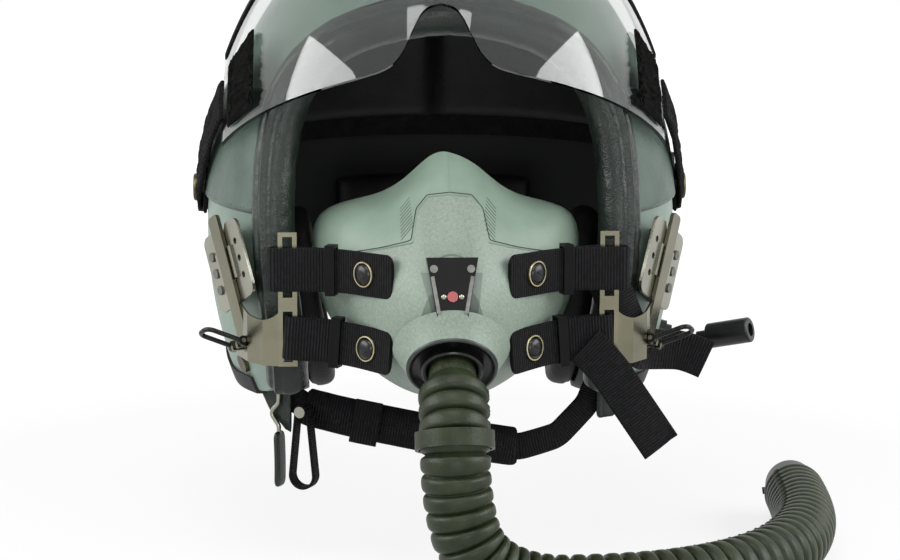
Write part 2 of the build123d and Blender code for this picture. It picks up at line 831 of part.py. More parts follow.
def bayonet():
    """Arm that slides in the receiver, scoop plate bent round to the front, and the strap loop."""
    length = arm_top + arm_bottom
    middle = (arm_top - arm_bottom) / 2
    blank = Pos(0, middle, arm_level) * extrude(RectangleRounded(arm_width, length, arm_width / 4),
                                                amount=arm_thickness)
    for x in (-lever_lug_offset, lever_lug_offset):
        lug = Pos(x, foot_y, arm_level + arm_thickness / 2) * Box(
            lever_lug_width, lever_eye_radius * 2, lever_pin_stand + arm_thickness / 2 + lever_eye_radius,
            align=ON_BASE)
        blank += lug
    bore = Rot(0, 90, 0) * Cylinder(lever_pin_radius + pin_gap, arm_width * 2)
    blank -= Pos(0, foot_y, lever_pin_level) * bore
    arm = receiver_plane.location * blank
    scoop = prism_plan(ribbon(plan_places(scoop_shares), scoop_thickness), scoop_bottom, scoop_top)
    dip = Pos(scoop_dip_x, 0, scoop_top) * Rot(90, 0, 0) * Cylinder(scoop_dip_radius, far * 2)
    scoop -= dip
    lever_room = Rot(0, 90, 0) * Cylinder(lever_eye_radius + fit_gap * 2, lever_pin_length + fit_gap * 4)
    scoop -= receiver_plane.location * Pos(0, foot_y, lever_pin_level) * lever_room
    frame = box_between((loop_inner_x, loop_depth - scoop_thickness / 2, scoop_bottom),
                        (loop_outer_x, loop_depth + scoop_thickness / 2, loop_top))
    for low, high in ((loop_cross_top, loop_top - loop_bar), (scoop_bottom + loop_bar, loop_cross_bottom)):
        frame -= box_between((loop_inner_x + loop_bar, loop_depth - overrun, low),
                             (loop_outer_x - loop_bar, loop_depth + overrun, high))
    return arm + scoop + frame


def lever_pin():
    return receiver_plane.location * Pos(0, foot_y, lever_pin_level) * Rot(0, 90, 0) * Cylinder(
        lever_pin_radius, lever_pin_length)


def release_lever():
    """Wire bail with an eye on each leg, leaning outwards from the arm's foot."""
    reach_y = lever_length * cos(radians(lever_lean))
    reach_z = lever_length * sin(radians(lever_lean))
    legs = [(-lever_half_width, 0), (-lever_half_width, 1), (lever_half_width, 1), (lever_half_width, 0)]
    line = [Vector(x, reach_y * share, reach_z * share) for x, share in legs]
    path = FilletPolyline(*line, radius=lever_round)
    wire = sweep(Plane(origin=path @ 0, z_dir=path % 0) * Circle(lever_wire_radius), path=path)
    bore = Rot(0, 90, 0) * Cylinder(lever_pin_radius + pin_gap, lever_pin_length * 2)
    for x in (-lever_half_width, lever_half_width):
        wire += Pos(x, 0, 0) * Rot(0, 90, 0) * Cylinder(lever_eye_radius, lever_eye_width)
    return receiver_plane.location * Pos(0, foot_y, lever_pin_level) * (wire - bore)


def mask_section(level_share, half_shares, foot_share):
    """Closed outline of the mask in front view at one depth, drawn smooth through its points."""
    depth = mask_back - mask_depth * level_share
    right = [(x * mask_half_width, z * mask_half_height) for x, z in half_shares]
    foot = [(0, foot_share * mask_half_height)]
    loop = right + foot + [(-x, z) for x, z in right[:0:-1]]
    return Face(Wire([Spline(*[Vector(x, depth, z) for x, z in loop], periodic=True)]))


def mask_blank():
    sections = zip(mask_level_shares, mask_section_shares, mask_foot_shares)
    return loft([mask_section(*section) for section in sections])


mask_solid = mask_blank()


def mask_form(grow):
    """The mask's outer form, grown or drawn in about the middle of its open back."""
    factors = ((mask_half_width + grow) / mask_half_width, (mask_depth + grow) / mask_depth,
               (mask_half_height + grow) / mask_half_height)
    return Pos(0, mask_back, 0) * scale(Pos(0, -mask_back, 0) * mask_solid, by=factors)


def face_line_cut():
    """Everything behind the line where the facepiece meets the wearer's face."""
    line = [(mask_back + y * mask_depth, z * mask_half_height) for y, z in face_line_shares]
    edge = Spline(*[Vector(0, y, z) for y, z in line])
    back = Polyline(edge @ 1, (0, 0, (edge @ 1).Z), (0, 0, (edge @ 0).Z), edge @ 0)
    return extrude(make_face(edge + back), amount=mask_half_width * 2, dir=(1, 0, 0), both=True)


ring_axis = Vector(0, -cos(radians(ring_slope)), -sin(radians(ring_slope)))
ring_plane = Plane(origin=(0, ring_depth, ring_height), x_dir=(1, 0, 0), z_dir=ring_axis)
cover_plane = Plane(origin=(0, cover_depth, cover_centre_height), x_dir=(1, 0, 0),
                    z_dir=(0, -cos(radians(cover_slope)), sin(radians(cover_slope))))
exhale_plane = Plane(origin=cover_plane.from_local_coords((0, exhale_height, 0)), x_dir=(1, 0, 0),
                     z_dir=cover_plane.z_dir)


def ring_bar(radius, back, front):
    """Round block on the inlet ring's axis."""
    return ring_plane.location * Pos(0, 0, -back) * Cylinder(radius, back + front, align=ON_BASE)


def exhale_bar(radius, back, front):
    """Round block on the exhalation valve's axis."""
    return exhale_plane.location * Pos(0, 0, -back) * Cylinder(radius, back + front, align=ON_BASE)


def mask_facepiece():
    """Soft facepiece, open at the back, with bores for the inlet and the exhalation valve."""
    cup = mask_form(0) - mask_form(-face_wall) - face_line_cut()
    cup -= ring_bar(ring_radius - ring_lip + fit_gap, ring_back * 2, ring_back * 2)
    cup -= exhale_bar(exhale_bore_radius, overrun * 2, overrun * 2)
    return largest_of(cup)


def mask_hardshell():
    """Rigid front shell over the facepiece."""
    wall = mask_form(hard_gap + hard_wall) - mask_form(hard_gap)
    half = [(x * mask_half_width, z * mask_half_height) for x, z in hard_outline_shares]
    outline = half + [(-x, z) for x, z in half[-2:0:-1]]
    shell = wall & prism_front(outline, mask_back - mask_depth * mask_level_shares[1] / 3, mask_back * 4)
    shell -= ring_bar(ring_radius - ring_lip + fit_gap, ring_back * 2, ring_back * 2)
    shell -= exhale_bar(exhale_bore_radius, overrun * 2, overrun * 2)
    return largest_of(shell)


def cover_outline(inset):
    """Trapezoid of the valve cover, wider at its top, drawn in by an inset."""
    top, low = cover_height / 2 - inset, -cover_height / 2 + inset
    wide, narrow = cover_top_half_width - inset, cover_low_half_width - inset
    return make_face(Polyline((-wide, top), (wide, top), (narrow, low), (-narrow, low), close=True))


def valve_cover():
    """Cover over the exhalation valve, shaped to the shell behind it, with a bore for the button."""
    blank = Pos(0, 0, -overrun) * extrude(cover_outline(0), amount=overrun + cover_thickness)
    solid = cover_plane.location * blank - mask_form(hard_gap + hard_wall + fit_gap)
    solid -= exhale_bar(exhale_bore_radius, overrun, -valve_gap)
    bore = Pos(0, -button_drop, 0) * Cylinder(button_radius + fit_gap, overrun * 2)
    for x in (-cover_screw_offset, cover_screw_offset):
        bore += Pos(x, cover_screw_offset, cover_thickness) * Cylinder(cover_screw_radius / 2 + fit_gap / 2,
                                                                       cover_thickness)
    return largest_of(solid - cover_plane.location * bore)


def cover_rails():
    """Bright rails along the cover's two slanted sides."""
    drop = cover_height
    lean = degrees(atan2(cover_top_half_width - cover_low_half_width, drop))
    rails = []
    for side in (-1, 1):
        x = side * ((cover_top_half_width + cover_low_half_width) / 2 - cover_rail_width)
        rail = Pos(x, 0, cover_thickness) * Rot(0, 0, -side * lean) * Box(
            cover_rail_width, cover_height - cover_rail_width * 6, rail_proud, align=ON_BASE)
        rails.append(cover_plane.location * Pos(0, -cover_rail_width * 2, 0) * rail)
    return Compound(children=rails)


def cover_screws():
    screws = []
    for x in (-cover_screw_offset, cover_screw_offset):
        place = Pos(x, cover_screw_offset, cover_thickness)
        shank = Cylinder(cover_screw_radius / 2, cover_thickness / 3, align=ON_BASE)
        shank = place * Pos(0, 0, -cover_thickness / 3) * shank
        head = place * Cylinder(cover_screw_radius, cover_screw_height, align=ON_BASE)
        screws.append(cover_plane.location * (shank + head))
    return Compound(children=screws)


def test_button():
    low = cover_thickness + button_proud - button_length
    return cover_plane.location * Pos(0, -button_drop, low) * Cylinder(button_radius, button_length,
                                                                       align=ON_BASE)


def valve_seat(radius, hole, thickness, spoke):
    """Flat ring with four spokes across its hole."""
    seat = Circle(radius) - Circle(hole)
    seat += Rectangle(hole * 2 + spoke, spoke)
    seat += Rectangle(spoke, hole * 2 + spoke)
    return extrude(seat, amount=thickness)


def exhale_seat():
    radius = exhale_bore_radius - valve_gap / 3
    seat = valve_seat(radius, exhale_seat_hole, exhale_seat_thickness, inhale_spoke / 2)
    return exhale_plane.location * Pos(0, 0, -exhale_depth) * seat


exhale_depth = face_wall + hard_gap + hard_wall
exhale_disc_level = -exhale_depth + exhale_seat_thickness + valve_gap


def exhale_disc():
    disc = Cylinder(exhale_bore_radius - valve_gap * 2, exhale_disc_thickness, align=ON_BASE)
    return exhale_plane.location * Pos(0, 0, exhale_disc_level) * disc


def inlet_ring():
    """Rim of the hose inlet, let into the hard shell and the facepiece."""
    rim = ring_bar(ring_radius, ring_lip_length, ring_front)
    stem = ring_bar(ring_radius - ring_lip, ring_back, 0)
    rim = fillet(rim.edges().sort_by(Axis((0, ring_depth, ring_height), ring_axis))[-1], ring_lip)
    rim -= mask_form(hard_gap + hard_wall + fit_gap)
    return largest_of(rim + stem - ring_bar(ring_bore, ring_back * 2, ring_back * 2))


def inlet_cup():
    """Funnel inside the ring with the socket that the hose's neck enters."""
    outer = ring_bore - fit_gap / 3
    funnel = ring_bar(outer, 0, ring_front / 2) - ring_bar(hose_neck_radius + fit_gap, ring_back, ring_back)
    socket = ring_bar(hose_neck_radius + fit_gap + socket_wall, 0, ring_front + socket_proud)
    socket -= ring_bar(hose_neck_radius + fit_gap, ring_back, ring_back)
    return funnel + socket


def inhale_seat():
    seat = valve_seat(ring_bore - fit_gap / 3, inhale_seat_hole, inhale_seat_thickness, inhale_spoke)
    return ring_plane.location * Pos(0, 0, -inhale_seat_level) * seat


inhale_seat_level = inhale_seat_thickness + fit_gap
inhale_disc_level = inhale_seat_level + valve_gap + inhale_disc_thickness


def inhale_disc():
    disc = Cylinder(inhale_disc_radius, inhale_disc_thickness, align=ON_BASE)
    return ring_plane.location * Pos(0, 0, -inhale_disc_level) * disc


def microphone():
    """Flat microphone on the facepiece's inner wall, in front of the lips."""
    front = mask_back - mask_depth + face_wall
    place = Pos(0, front, microphone_height) * Rot(-90, 0, 0)
    blank = place * Cylinder(microphone_radius, microphone_thickness * 3, align=ON_BASE)
    capsule = blank & mask_form(-face_wall - soft_gap)
    slab = box_between((-far, front, -far), (far, front + microphone_thickness * 2, far))
    return largest_of(capsule & slab)


upper_strap_line = plan_places(upper_strap_shares)
lower_strap_line = plan_places(lower_strap_shares)


def strap_band(line):
    """Webbing along a plan view line, as a band one strap wide about height zero."""
    return prism_plan(ribbon(line, strap_thickness), -strap_width / 2, strap_width / 2)


def strap_sleeve():
    """Keeper that wraps both layers of a strap."""
    depth = strap_thickness * 2 + strap_layer_gap
    skin = (keeper_skin + fit_gap) * 2
    outer = Box(keeper_length, depth + skin, strap_width + skin)
    return outer - Box(keeper_length * 2, depth + fit_gap * 2, strap_width + fit_gap * 2)


def upper_place(shape):
    return Pos(0, 0, upper_strap_height) * shape


def lower_place(shape):
    """Height and slope of the lower strap, which falls towards the chin."""
    pivot = loop_inner_x
    return Pos(pivot, 0, lower_strap_height) * Rot(0, -lower_strap_slope, 0) * Pos(-pivot, 0, 0) * shape


def strap_point(line, start, share, out):
    """Frame on a straight part of a strap: its Z points away from the mask."""
    near, far_end = Vector(*line[start]), Vector(*line[start + 1])
    along = (far_end - near).normalized()
    outward = along.rotate(Axis.Z, -90)
    place = near + (far_end - near) * share + outward * (strap_thickness / 2 + out)
    return Plane(origin=place, x_dir=along, z_dir=outward)


def ring_fastener(line):
    washer = Cylinder(ring_fastener_radius, ring_fastener_height, align=ON_BASE)
    washer = fillet(washer.edges().sort_by(Axis.Z)[-1], ring_fastener_height / 3)
    washer -= Cylinder(dome_radius + fit_gap, ring_fastener_height * 3)
    return strap_point(line, 1, ring_fastener_share, fit_gap / 3).location * washer


def dome_fastener(line):
    """Slotted round button in the middle of a ring."""
    button = Cylinder(dome_radius, dome_height, align=ON_BASE)
    button = fillet(button.edges().sort_by(Axis.Z)[-1], dome_height / 2)
    button -= Pos(0, 0, dome_height) * Box(dome_radius * 2, dome_radius / 4, dome_height / 2)
    return strap_point(line, 1, ring_fastener_share, fit_gap / 3).location * button


def strap_tail(line, fall):
    """Loose webbing end: a plan view line that also falls in front view."""
    plan = prism_plan(ribbon(line, tail_thickness), -far, far)
    return plan & prism_front(ribbon(fall, tail_width), 0, -far)


def chin_band(width, thickness, forward, low_x, high_x):
    """Part of a band that follows the chin strap, moved forwards, between two places across."""
    plan = ribbon(plan_places(chin_depth_shares), thickness, -forward)
    fall = ribbon(front_places(chin_line_shares), width)
    band = prism_plan(plan, -shell_half_height, 0) & prism_front(fall, 0, -shell_half_depth)
    return band & box_between((low_x, -far, -far), (high_x, far, far))


def chin_strap():
    return chin_band(chin_width, chin_thickness, 0, -far, far) & dome(shell_wall + soft_gap)


def chin_pad():
    """Sleeve round the chin strap, with a fabric flap on its front."""
    inner = chin_thickness + soft_gap * 2
    sleeve = chin_band(chin_pad_width, inner + chin_pad_skin * 2, 0, chin_pad_right, chin_pad_left)
    sleeve -= chin_band(chin_width + soft_gap * 2, inner, 0, -far, far)
    forward = inner / 2 + chin_pad_skin + soft_gap + chin_flap_thickness / 2
    flap = chin_band(chin_flap_width, chin_flap_thickness, forward, chin_flap_right, chin_flap_left)
    return Compound(children=[largest_of(sleeve), largest_of(flap)])


def ear_tab(side, low):
    """Leather tab from inside an ear flap down over the end of the chin strap."""
    half = [(ear_tab_inner, ear_tab_top), (far, ear_tab_top), (far, (low + ear_tab_top) / 2),
            (ear_tab_outer, low), (ear_tab_inner, low)]
    outline = [(side * x, z) for x, z in half]
    forward = chin_thickness / 2 + soft_gap + ear_tab_thickness / 2
    ends = chin_depth_shares[-3:] if side > 0 else chin_depth_shares[:3]
    plan = ribbon(plan_places(ends), ear_tab_thickness, -forward)
    tab = prism_plan(plan, -shell_half_height, 0) & prism_front(outline, 0, -shell_half_depth)
    return largest_of(tab & dome(shell_wall + welt_skin + soft_gap))


def ear_tabs():
    left, right = ear_tab(SIDES["left"], ear_tab_low), ear_tab(SIDES["right"], ear_tab_right_low)
    return Compound(children=[left, right])


def chin_frame(place, forward):
    """Frame on the chin strap's front: its X runs to the left along the strap, its Z forwards."""
    across, height = front_places([place])[0]
    points = [Vector(*point) for point in plan_places(chin_depth_shares)]
    near, far_end = next((a, b) for a, b in zip(points, points[1:]) if a.X <= across <= b.X)
    along = (far_end - near).normalized()
    ahead = along.rotate(Axis.Z, -90)
    spot = near + along * ((across - near.X) / along.X) + ahead * forward
    return Plane(origin=(spot.X, spot.Y, height), x_dir=along, z_dir=ahead)


tab_front = chin_thickness / 2 + soft_gap + ear_tab_thickness
pad_front = chin_thickness / 2 + soft_gap + chin_pad_skin
hook_frame = chin_frame(hook_place_shares, tab_front)
loop_frame = chin_frame(loop_place_shares, pad_front)
hook_hang = hook_eye_radius - hook_wire_radius * 2 - stud_radius - stud_gap / 3


def hanging_studs():
    """Headed studs that the wire hook and the webbing loop hang on."""
    studs = []
    for frame, width in ((hook_frame, hook_wire_radius * 2), (loop_frame, loop_band_width)):
        stem = Cylinder(stud_radius, width + stud_gap * 3, align=ON_BASE)
        head = Pos(0, 0, width + stud_gap * 3) * Cylinder(stud_head_radius, stud_head_height, align=ON_BASE)
        foot = Cylinder(stud_head_radius, stud_gap, align=ON_BASE)
        studs.append(frame.offset(stud_gap / 3).location * (stem + head + foot))
    return Compound(children=studs)


def wire_hook():
    """Bent wire with an eye at its top and a leather pull at its foot."""
    level = stud_gap * 1.7 + hook_wire_radius
    eye = Torus(hook_eye_radius - hook_wire_radius, hook_wire_radius)
    drop = hook_eye_radius - hook_wire_radius
    falls = [(0, 1 / 3), (-hook_kink, 0.5), (0, 0.7), (0, 1)]
    line = [(0, -drop, 0)] + [(x, -hook_drop * share, 0) for x, share in falls]
    wire = tube(line, hook_wire_radius, hook_round)
    return hook_frame.offset(level).location * Pos(0, -hook_hang, 0) * (eye + wire)


def hook_pull():
    """Leather pull on the wire's foot, seen edge-on from the front."""
    level = stud_gap * 1.7 + hook_wire_radius
    blank = Box(hook_pull_thickness, hook_pull_length, hook_pull_width)
    edges = blank.edges().filter_by(Axis.X)
    body = fillet(edges, hook_pull_width / 3)
    body -= Pos(0, hook_pull_length / 2, 0) * Rot(90, 0, 0) * Cylinder(hook_wire_radius + stud_gap / 3,
                                                                     hook_pull_length / 2)
    fall = hook_drop + hook_pull_length / 4 + hook_hang
    return hook_frame.offset(level).location * Pos(0, -fall, 0) * body


def webbing_loop():
    """Loop of narrow webbing that hangs on its stud."""
    def drop_shape(inset):
        top = Circle(loop_top_radius - inset)
        low = Pos(0, -loop_drop) * Circle(loop_low_radius - inset)
        return make_hull(ShapeList(top.edges() + low.edges()))
    band = extrude(drop_shape(0) - drop_shape(loop_band_thickness), amount=loop_band_width)
    hang = loop_top_radius - loop_band_thickness - stud_radius - stud_gap / 3
    return loop_frame.offset(stud_gap * 2).location * Pos(0, -hang, 0) * band


def breathing_points():
    """Points of the hose's route, from the mask's inlet to its end on the floor."""
    start = ring_plane.from_local_coords((0, 0, hose_start))
    first = ring_plane.from_local_coords((0, 0, hose_start + hose_first_run))
    return [start, first] + [Vector(*point) for point in hose_line]


hose_points = breathing_points()
hose_path = route(hose_points, hose_bend)


def hose_plane(distance):
    """Plane square to the hose's route at a distance along it, with a steady X axis."""
    along = hose_path % (distance / hose_path.length)
    steady = Vector(*hose_steady_shares)
    return Plane(origin=hose_path @ (distance / hose_path.length), x_dir=steady - along * steady.dot(along),
                 z_dir=along)


def breathing_hose():
    """Ribbed hose: four circles for each rib in one ruled loft, less its bore."""
    smooth = hose_radius * 2
    count = int((hose_path.length - smooth - collar_length) / hose_pitch)
    crest_from = hose_pitch * hose_slope_share
    crest_to = crest_from + hose_pitch * hose_crest_share
    sections = [hose_plane(0) * Circle(hose_root_radius)]
    for rib in range(count):
        start = collar_length + rib * hose_pitch
        for step, radius in ((0, hose_root_radius), (crest_from, hose_radius), (crest_to, hose_radius),
                             (crest_to + crest_from, hose_root_radius)):
            sections.append(hose_plane(start + step) * Circle(radius))
    sections.append(hose_plane(hose_path.length) * Circle(hose_root_radius))
    return loft(sections, ruled=True) - sweep(hose_plane(0) * Circle(hose_bore_radius), path=hose_path)


def hose_collar():
    """Toothed neck on the hose's start, which enters the mask's inlet."""
    inner, outer = hose_root_radius + fit_gap / 3, hose_root_radius + fit_gap / 3 + collar_thickness
    collar = Pos(0, 0, -collar_web) * Cylinder(outer, collar_length + collar_web - fit_gap, align=ON_BASE)
    for tooth in range(collar_teeth):
        spot = Rot(0, 0, tooth * 360 / collar_teeth) * Pos(outer, 0, collar_length / 2)
        collar += spot * Box(collar_tooth, collar_tooth, collar_length / 2)
    collar -= Pos(0, 0, -fit_gap / 3) * Cylinder(inner, collar_length * 2, align=ON_BASE)
    collar += Pos(0, 0, -hose_start) * Cylinder(hose_neck_radius, hose_start - fit_gap / 3, align=ON_BASE)
    collar -= Cylinder(hose_bore_radius - fit_gap, hose_start * 4)
    return hose_plane(0).location * collar


def hose_clamp():
    """Band clamp with its clip, round the hose below the mask."""
    distance = hose_path.length * clamp_place_share
    ring = Cylinder(hose_radius + clamp_gap + clamp_thickness, clamp_length)
    ring -= Cylinder(hose_radius + clamp_gap, clamp_length * 2)
    clip = Pos(0, -hose_radius - clamp_thickness - clamp_clip_height / 3, 0) * Box(
        clamp_clip_length, clamp_clip_height, clamp_length)
    clip -= Cylinder(hose_radius + clamp_gap, clamp_length * 2)
    seat = hose_plane(distance)
    return Plane(origin=seat.origin, x_dir=(1, 0, 0), z_dir=seat.z_dir).location * (ring + clip)


def hose_cuff():
    """Rubber cuff on the hose's far end."""
    cuff = Cylinder(cuff_radius, cuff_length, align=(Align.CENTER, Align.CENTER, Align.MAX))
    cuff = fillet(cuff.edges().sort_by(Axis.Z)[0], (cuff_radius - hose_root_radius) / 2)
    cuff -= Cylinder(hose_root_radius + fit_gap / 3, cuff_length * 4)
    return hose_plane(hose_path.length).location * cuff


def end_connector():
    """Quick-release fitting on the hose's end: flange, two lugs and a through bore."""
    body = Cylinder(connector_radius, connector_length, align=ON_BASE)
    flange = Cylinder(connector_flange_radius, connector_flange_length, align=ON_BASE)
    lugs = Pos(0, 0, connector_length * 0.7) * Rot(0, 90, 0) * Cylinder(connector_lug_radius,
                                                                       connector_flange_radius * 2)
    body = body + flange + lugs - Cylinder(connector_bore, connector_length * 3)
    return hose_plane(hose_path.length).location * body


gland_point = Vector(flank(gland_depth, gland_height), gland_depth, gland_height)
gland_plane = Plane(origin=gland_point, x_dir=(0, 1, 0), z_dir=shell_normal(gland_point))


def comms_gland():
    """Stepped strain relief on the shell's flank."""
    base = Cylinder(gland_radius, overrun + gland_length * gland_step_share, align=ON_BASE)
    neck = Cylinder((gland_radius + lead_radius) / 2, gland_length, align=ON_BASE)
    return gland_plane.location * (Pos(0, 0, -overrun) * base + neck) - dome(-fit_gap / 3)


def lead_points():
    start = gland_plane.from_local_coords((0, 0, gland_length))
    first = gland_plane.from_local_coords((0, 0, gland_length + lead_first_run))
    aim = Vector(*jack_aim).normalized()
    last = Vector(*lead_line[-1])
    return [start, first] + [Vector(*point) for point in lead_line] + [last + aim * lead_first_run]


def comms_lead():
    return tube(lead_points(), lead_radius)


def comms_jack():
    """Cylindrical jack with a neck, a grey tip and a socket in its end."""
    aim = Vector(*jack_aim).normalized()
    place = Plane(origin=lead_points()[-1], x_dir=(0, 0, 1), z_dir=aim)
    neck = Cylinder(jack_neck_radius, jack_neck_length, align=ON_BASE)
    body = Pos(0, 0, jack_neck_length) * Cylinder(jack_radius, jack_length, align=ON_BASE)
    body = fillet(body.edges().filter_by(GeomType.CIRCLE), jack_radius / 6)
    socket = Pos(0, 0, jack_neck_length + jack_length - jack_socket_depth) * Cylinder(
        jack_socket_radius, jack_socket_depth * 2, align=ON_BASE)
    return place.location * (neck + body - socket)


def ear_snap():
    """Snap stud on the outside of the left ear flap."""
    spot = Vector(flank(ear_snap_depth, ear_snap_height), ear_snap_depth, ear_snap_height)
    place = Plane(origin=spot, x_dir=(0, 1, 0), z_dir=shell_normal(spot))
    blank = Cylinder(ear_tab_snap_radius, ear_tab_snap_height + overrun)
    blank = place.location * Pos(0, 0, (ear_tab_snap_height - overrun) / 2 + fit_gap) * blank
    return blank - dome(-fit_gap / 3)


hard_outside = mask_form(hard_gap + hard_wall + soft_gap)


def upper_strap():
    return largest_of(upper_place(strap_band(upper_strap_line)) - hard_outside)


def lower_strap():
    return largest_of(lower_place(strap_band(lower_strap_line)) - hard_outside)


def strap_keepers():
    """Keepers on the upper and the lower strap, round both of its layers."""
    keepers = []
    for line, place in ((upper_strap_line, upper_place), (lower_strap_line, lower_place)):
        middle = strap_point(line, 2, keeper_share, -strap_thickness - strap_layer_gap / 2)
        keepers.append(place(middle.location * Rot(90, 0, 0) * strap_sleeve()))
    return both(Compound(children=keepers))


def strap_rings():
    rings = [upper_place(ring_fastener(upper_strap_line)), lower_place(ring_fastener(lower_strap_line))]
    return both(Compound(children=rings))


def strap_domes():
    domes = [upper_place(dome_fastener(upper_strap_line)), lower_place(dome_fastener(lower_strap_line))]
    return both(Compound(children=domes))


def strap_tails():
    """Loose webbing ends, which only the wearer's left shows."""
    upper = strap_tail(plan_places(upper_tail_shares), front_places(upper_fall_shares))
    lower = strap_tail(plan_places(lower_tail_shares), front_places(lower_fall_shares))
    return Compound(children=[upper, lower])


def on_right(shape):
    return mirror(shape, about=Plane.YZ)


pieces = {
    "outer_shell": outer_shell,
    "foam_liner": foam_liner,
    "comfort_liner": comfort_liner,
    "nape_pad": nape_pad,
    "edge_roll": edge_roll,
    "side_covers": side_covers,
    "shell_welt": shell_welt,
    "earphones": lambda: both(earphone()),
    "ear_seals": lambda: both(ear_seal()),
    "ear_cup_pads": lambda: both(cup_pad()),
    "ear_cups": lambda: both(ear_cup()),
    "visor_lens": visor_lens,
    "visor_trim": visor_trim,
    "visor_patches": visor_patches,
    "visor_tabs": lambda: both(visor_tab()),
    "snap_studs": lambda: Compound(children=[*both(pivot_snap()).solids(), *both(ear_snap()).solids()]),
    "visor_strap": visor_strap,
    "strap_buckles": lambda: both(strap_buckle()),
    "pull_tabs": lambda: both(pull_tab()),
    "receiver_pads": lambda: both(receiver_pad()),
    "receiver_spacers": lambda: both(receiver_spacer()),
    "receiver_plates": lambda: both(receiver_plate()),
    "receiver_rivets": lambda: both(receiver_rivets()),
    "bayonets": lambda: both(bayonet()),
    "lever_pins": lambda: both(lever_pin()),
    "release_lever_left": release_lever,
    "release_lever_right": lambda: on_right(release_lever()),
    "mask_facepiece": mask_facepiece,
    "mask_hardshell": mask_hardshell,
    "valve_cover": valve_cover,
    "cover_rails": cover_rails,
    "cover_screws": cover_screws,
    "test_button": test_button,
    "valve_seats": lambda: Compound(children=[exhale_seat(), inhale_seat()]),
    "exhale_disc": exhale_disc,
    "inlet_ring": inlet_ring,
    "inlet_cup": inlet_cup,
    "inhale_disc": inhale_disc,
    "microphone": microphone,
    "upper_straps": lambda: both(upper_strap()),
    "lower_straps": lambda: both(lower_strap()),
    "strap_keepers": strap_keepers,
    "strap_rings": strap_rings,
    "strap_domes": strap_domes,
    "strap_tails": strap_tails,
    "chin_strap": chin_strap,
    "chin_pad": chin_pad,
    "ear_tabs": ear_tabs,
    "hanging_studs": hanging_studs,
    "wire_hook": wire_hook,
    "hook_pull": hook_pull,
    "webbing_loop": webbing_loop,
    "breathing_hose": breathing_hose,
    "hose_collar": hose_collar,
    "hose_clamp": hose_clamp,
    "hose_cuff": hose_cuff,
    "end_connector": end_connector,
    "comms_gland": comms_gland,
    "comms_lead": comms_lead,
    "comms_jack": comms_jack,
}

os.makedirs("parts", exist_ok=True)
for node, make in pieces.items():
    export_step(make(), f"parts/{node}.step")

hose_corner_radii = [round(radius, 1) for radius in easy_radii(hose_points, hose_bend)]
print("hose length", round(hose_path.length, 1), "corner radii", hose_corner_radii)
lead_corners = lead_points()
print("lead length", round(route(lead_corners).length, 1), "corner radii",
      [round(radius, 1) for radius in easy_radii(lead_corners)])
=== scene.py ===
# %% [markdown]
# # A pilot's flight helmet with its oxygen mask
# The helmet is a hard painted shell with a padded edge, a clear visor and a chin strap.
# An oxygen mask hangs in front of it on four webbing straps, and a ribbed hose feeds it.
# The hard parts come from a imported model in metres; the soft parts are made here, over them.

# %% Load the hard parts
import math

import bmesh
import bpy
import numpy as np
from mathutils import Matrix, Vector, noise
from mathutils.bvhtree import BVHTree


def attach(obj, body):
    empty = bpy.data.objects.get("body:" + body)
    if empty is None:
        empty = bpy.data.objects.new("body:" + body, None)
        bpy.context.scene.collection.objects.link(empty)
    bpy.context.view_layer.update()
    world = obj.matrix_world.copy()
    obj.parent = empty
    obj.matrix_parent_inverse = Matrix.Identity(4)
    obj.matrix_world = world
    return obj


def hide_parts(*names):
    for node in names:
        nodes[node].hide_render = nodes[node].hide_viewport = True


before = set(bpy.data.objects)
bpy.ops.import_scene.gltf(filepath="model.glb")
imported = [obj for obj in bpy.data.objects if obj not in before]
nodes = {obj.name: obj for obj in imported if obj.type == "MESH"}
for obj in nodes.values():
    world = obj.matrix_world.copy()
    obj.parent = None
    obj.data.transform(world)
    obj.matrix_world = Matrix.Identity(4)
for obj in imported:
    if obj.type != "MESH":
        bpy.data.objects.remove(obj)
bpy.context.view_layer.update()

MM = 0.001
SIDES = ((1, "left"), (-1, "right"))
print("parts loaded:", len(nodes))

# %% [markdown]
# ## Camera
# A long lens from 1.4 m away keeps the helmet's proportions calm, as a catalogue picture does.
# The camera stands two degrees to the wearer's right and looks slightly down.
# A small lens shift puts the helmet off the middle, with room for the hose at the right.

# %% Camera
AZIMUTH, ELEVATION, DISTANCE = math.radians(-2), math.radians(8), 1.4
PICTURE_WIDTH, PICTURE_HEIGHT = 900, 560
eye = DISTANCE * Vector((math.sin(AZIMUTH) * math.cos(ELEVATION),
                         -math.cos(AZIMUTH) * math.cos(ELEVATION), math.sin(ELEVATION)))
lens = bpy.data.cameras.new("camera")
lens.lens, lens.sensor_width = 101.8, 36
lens.shift_x, lens.shift_y = 10 / PICTURE_WIDTH, -40 / PICTURE_WIDTH
camera = bpy.data.objects.new("camera", lens)
camera.location = eye
camera.rotation_euler = (-eye).to_track_quat("-Z", "Y").to_euler()
bpy.context.collection.objects.link(camera)
bpy.context.scene.camera = camera
print("camera at", [round(value, 3) for value in eye])

# %% [markdown]
# ## Light and floor
# Two large soft boxes at the sides give the long pale reflections on a visor.
# The floor is a plain pale sheet that reads as white to the camera but still takes a shadow.
# It glows for the camera alone: for light that falls on the object it is plain grey paper.

# %% Lights
def soft_box(name, place, aim, size, power):
    light = bpy.data.lights.new(name, "AREA")
    light.shape, light.size, light.size_y, light.energy = "RECTANGLE", size[0], size[1], power
    lamp = bpy.data.objects.new(name, light)
    lamp.location = place
    lamp.rotation_euler = (Vector(aim) - Vector(place)).to_track_quat("-Z", "Y").to_euler()
    bpy.context.collection.objects.link(lamp)


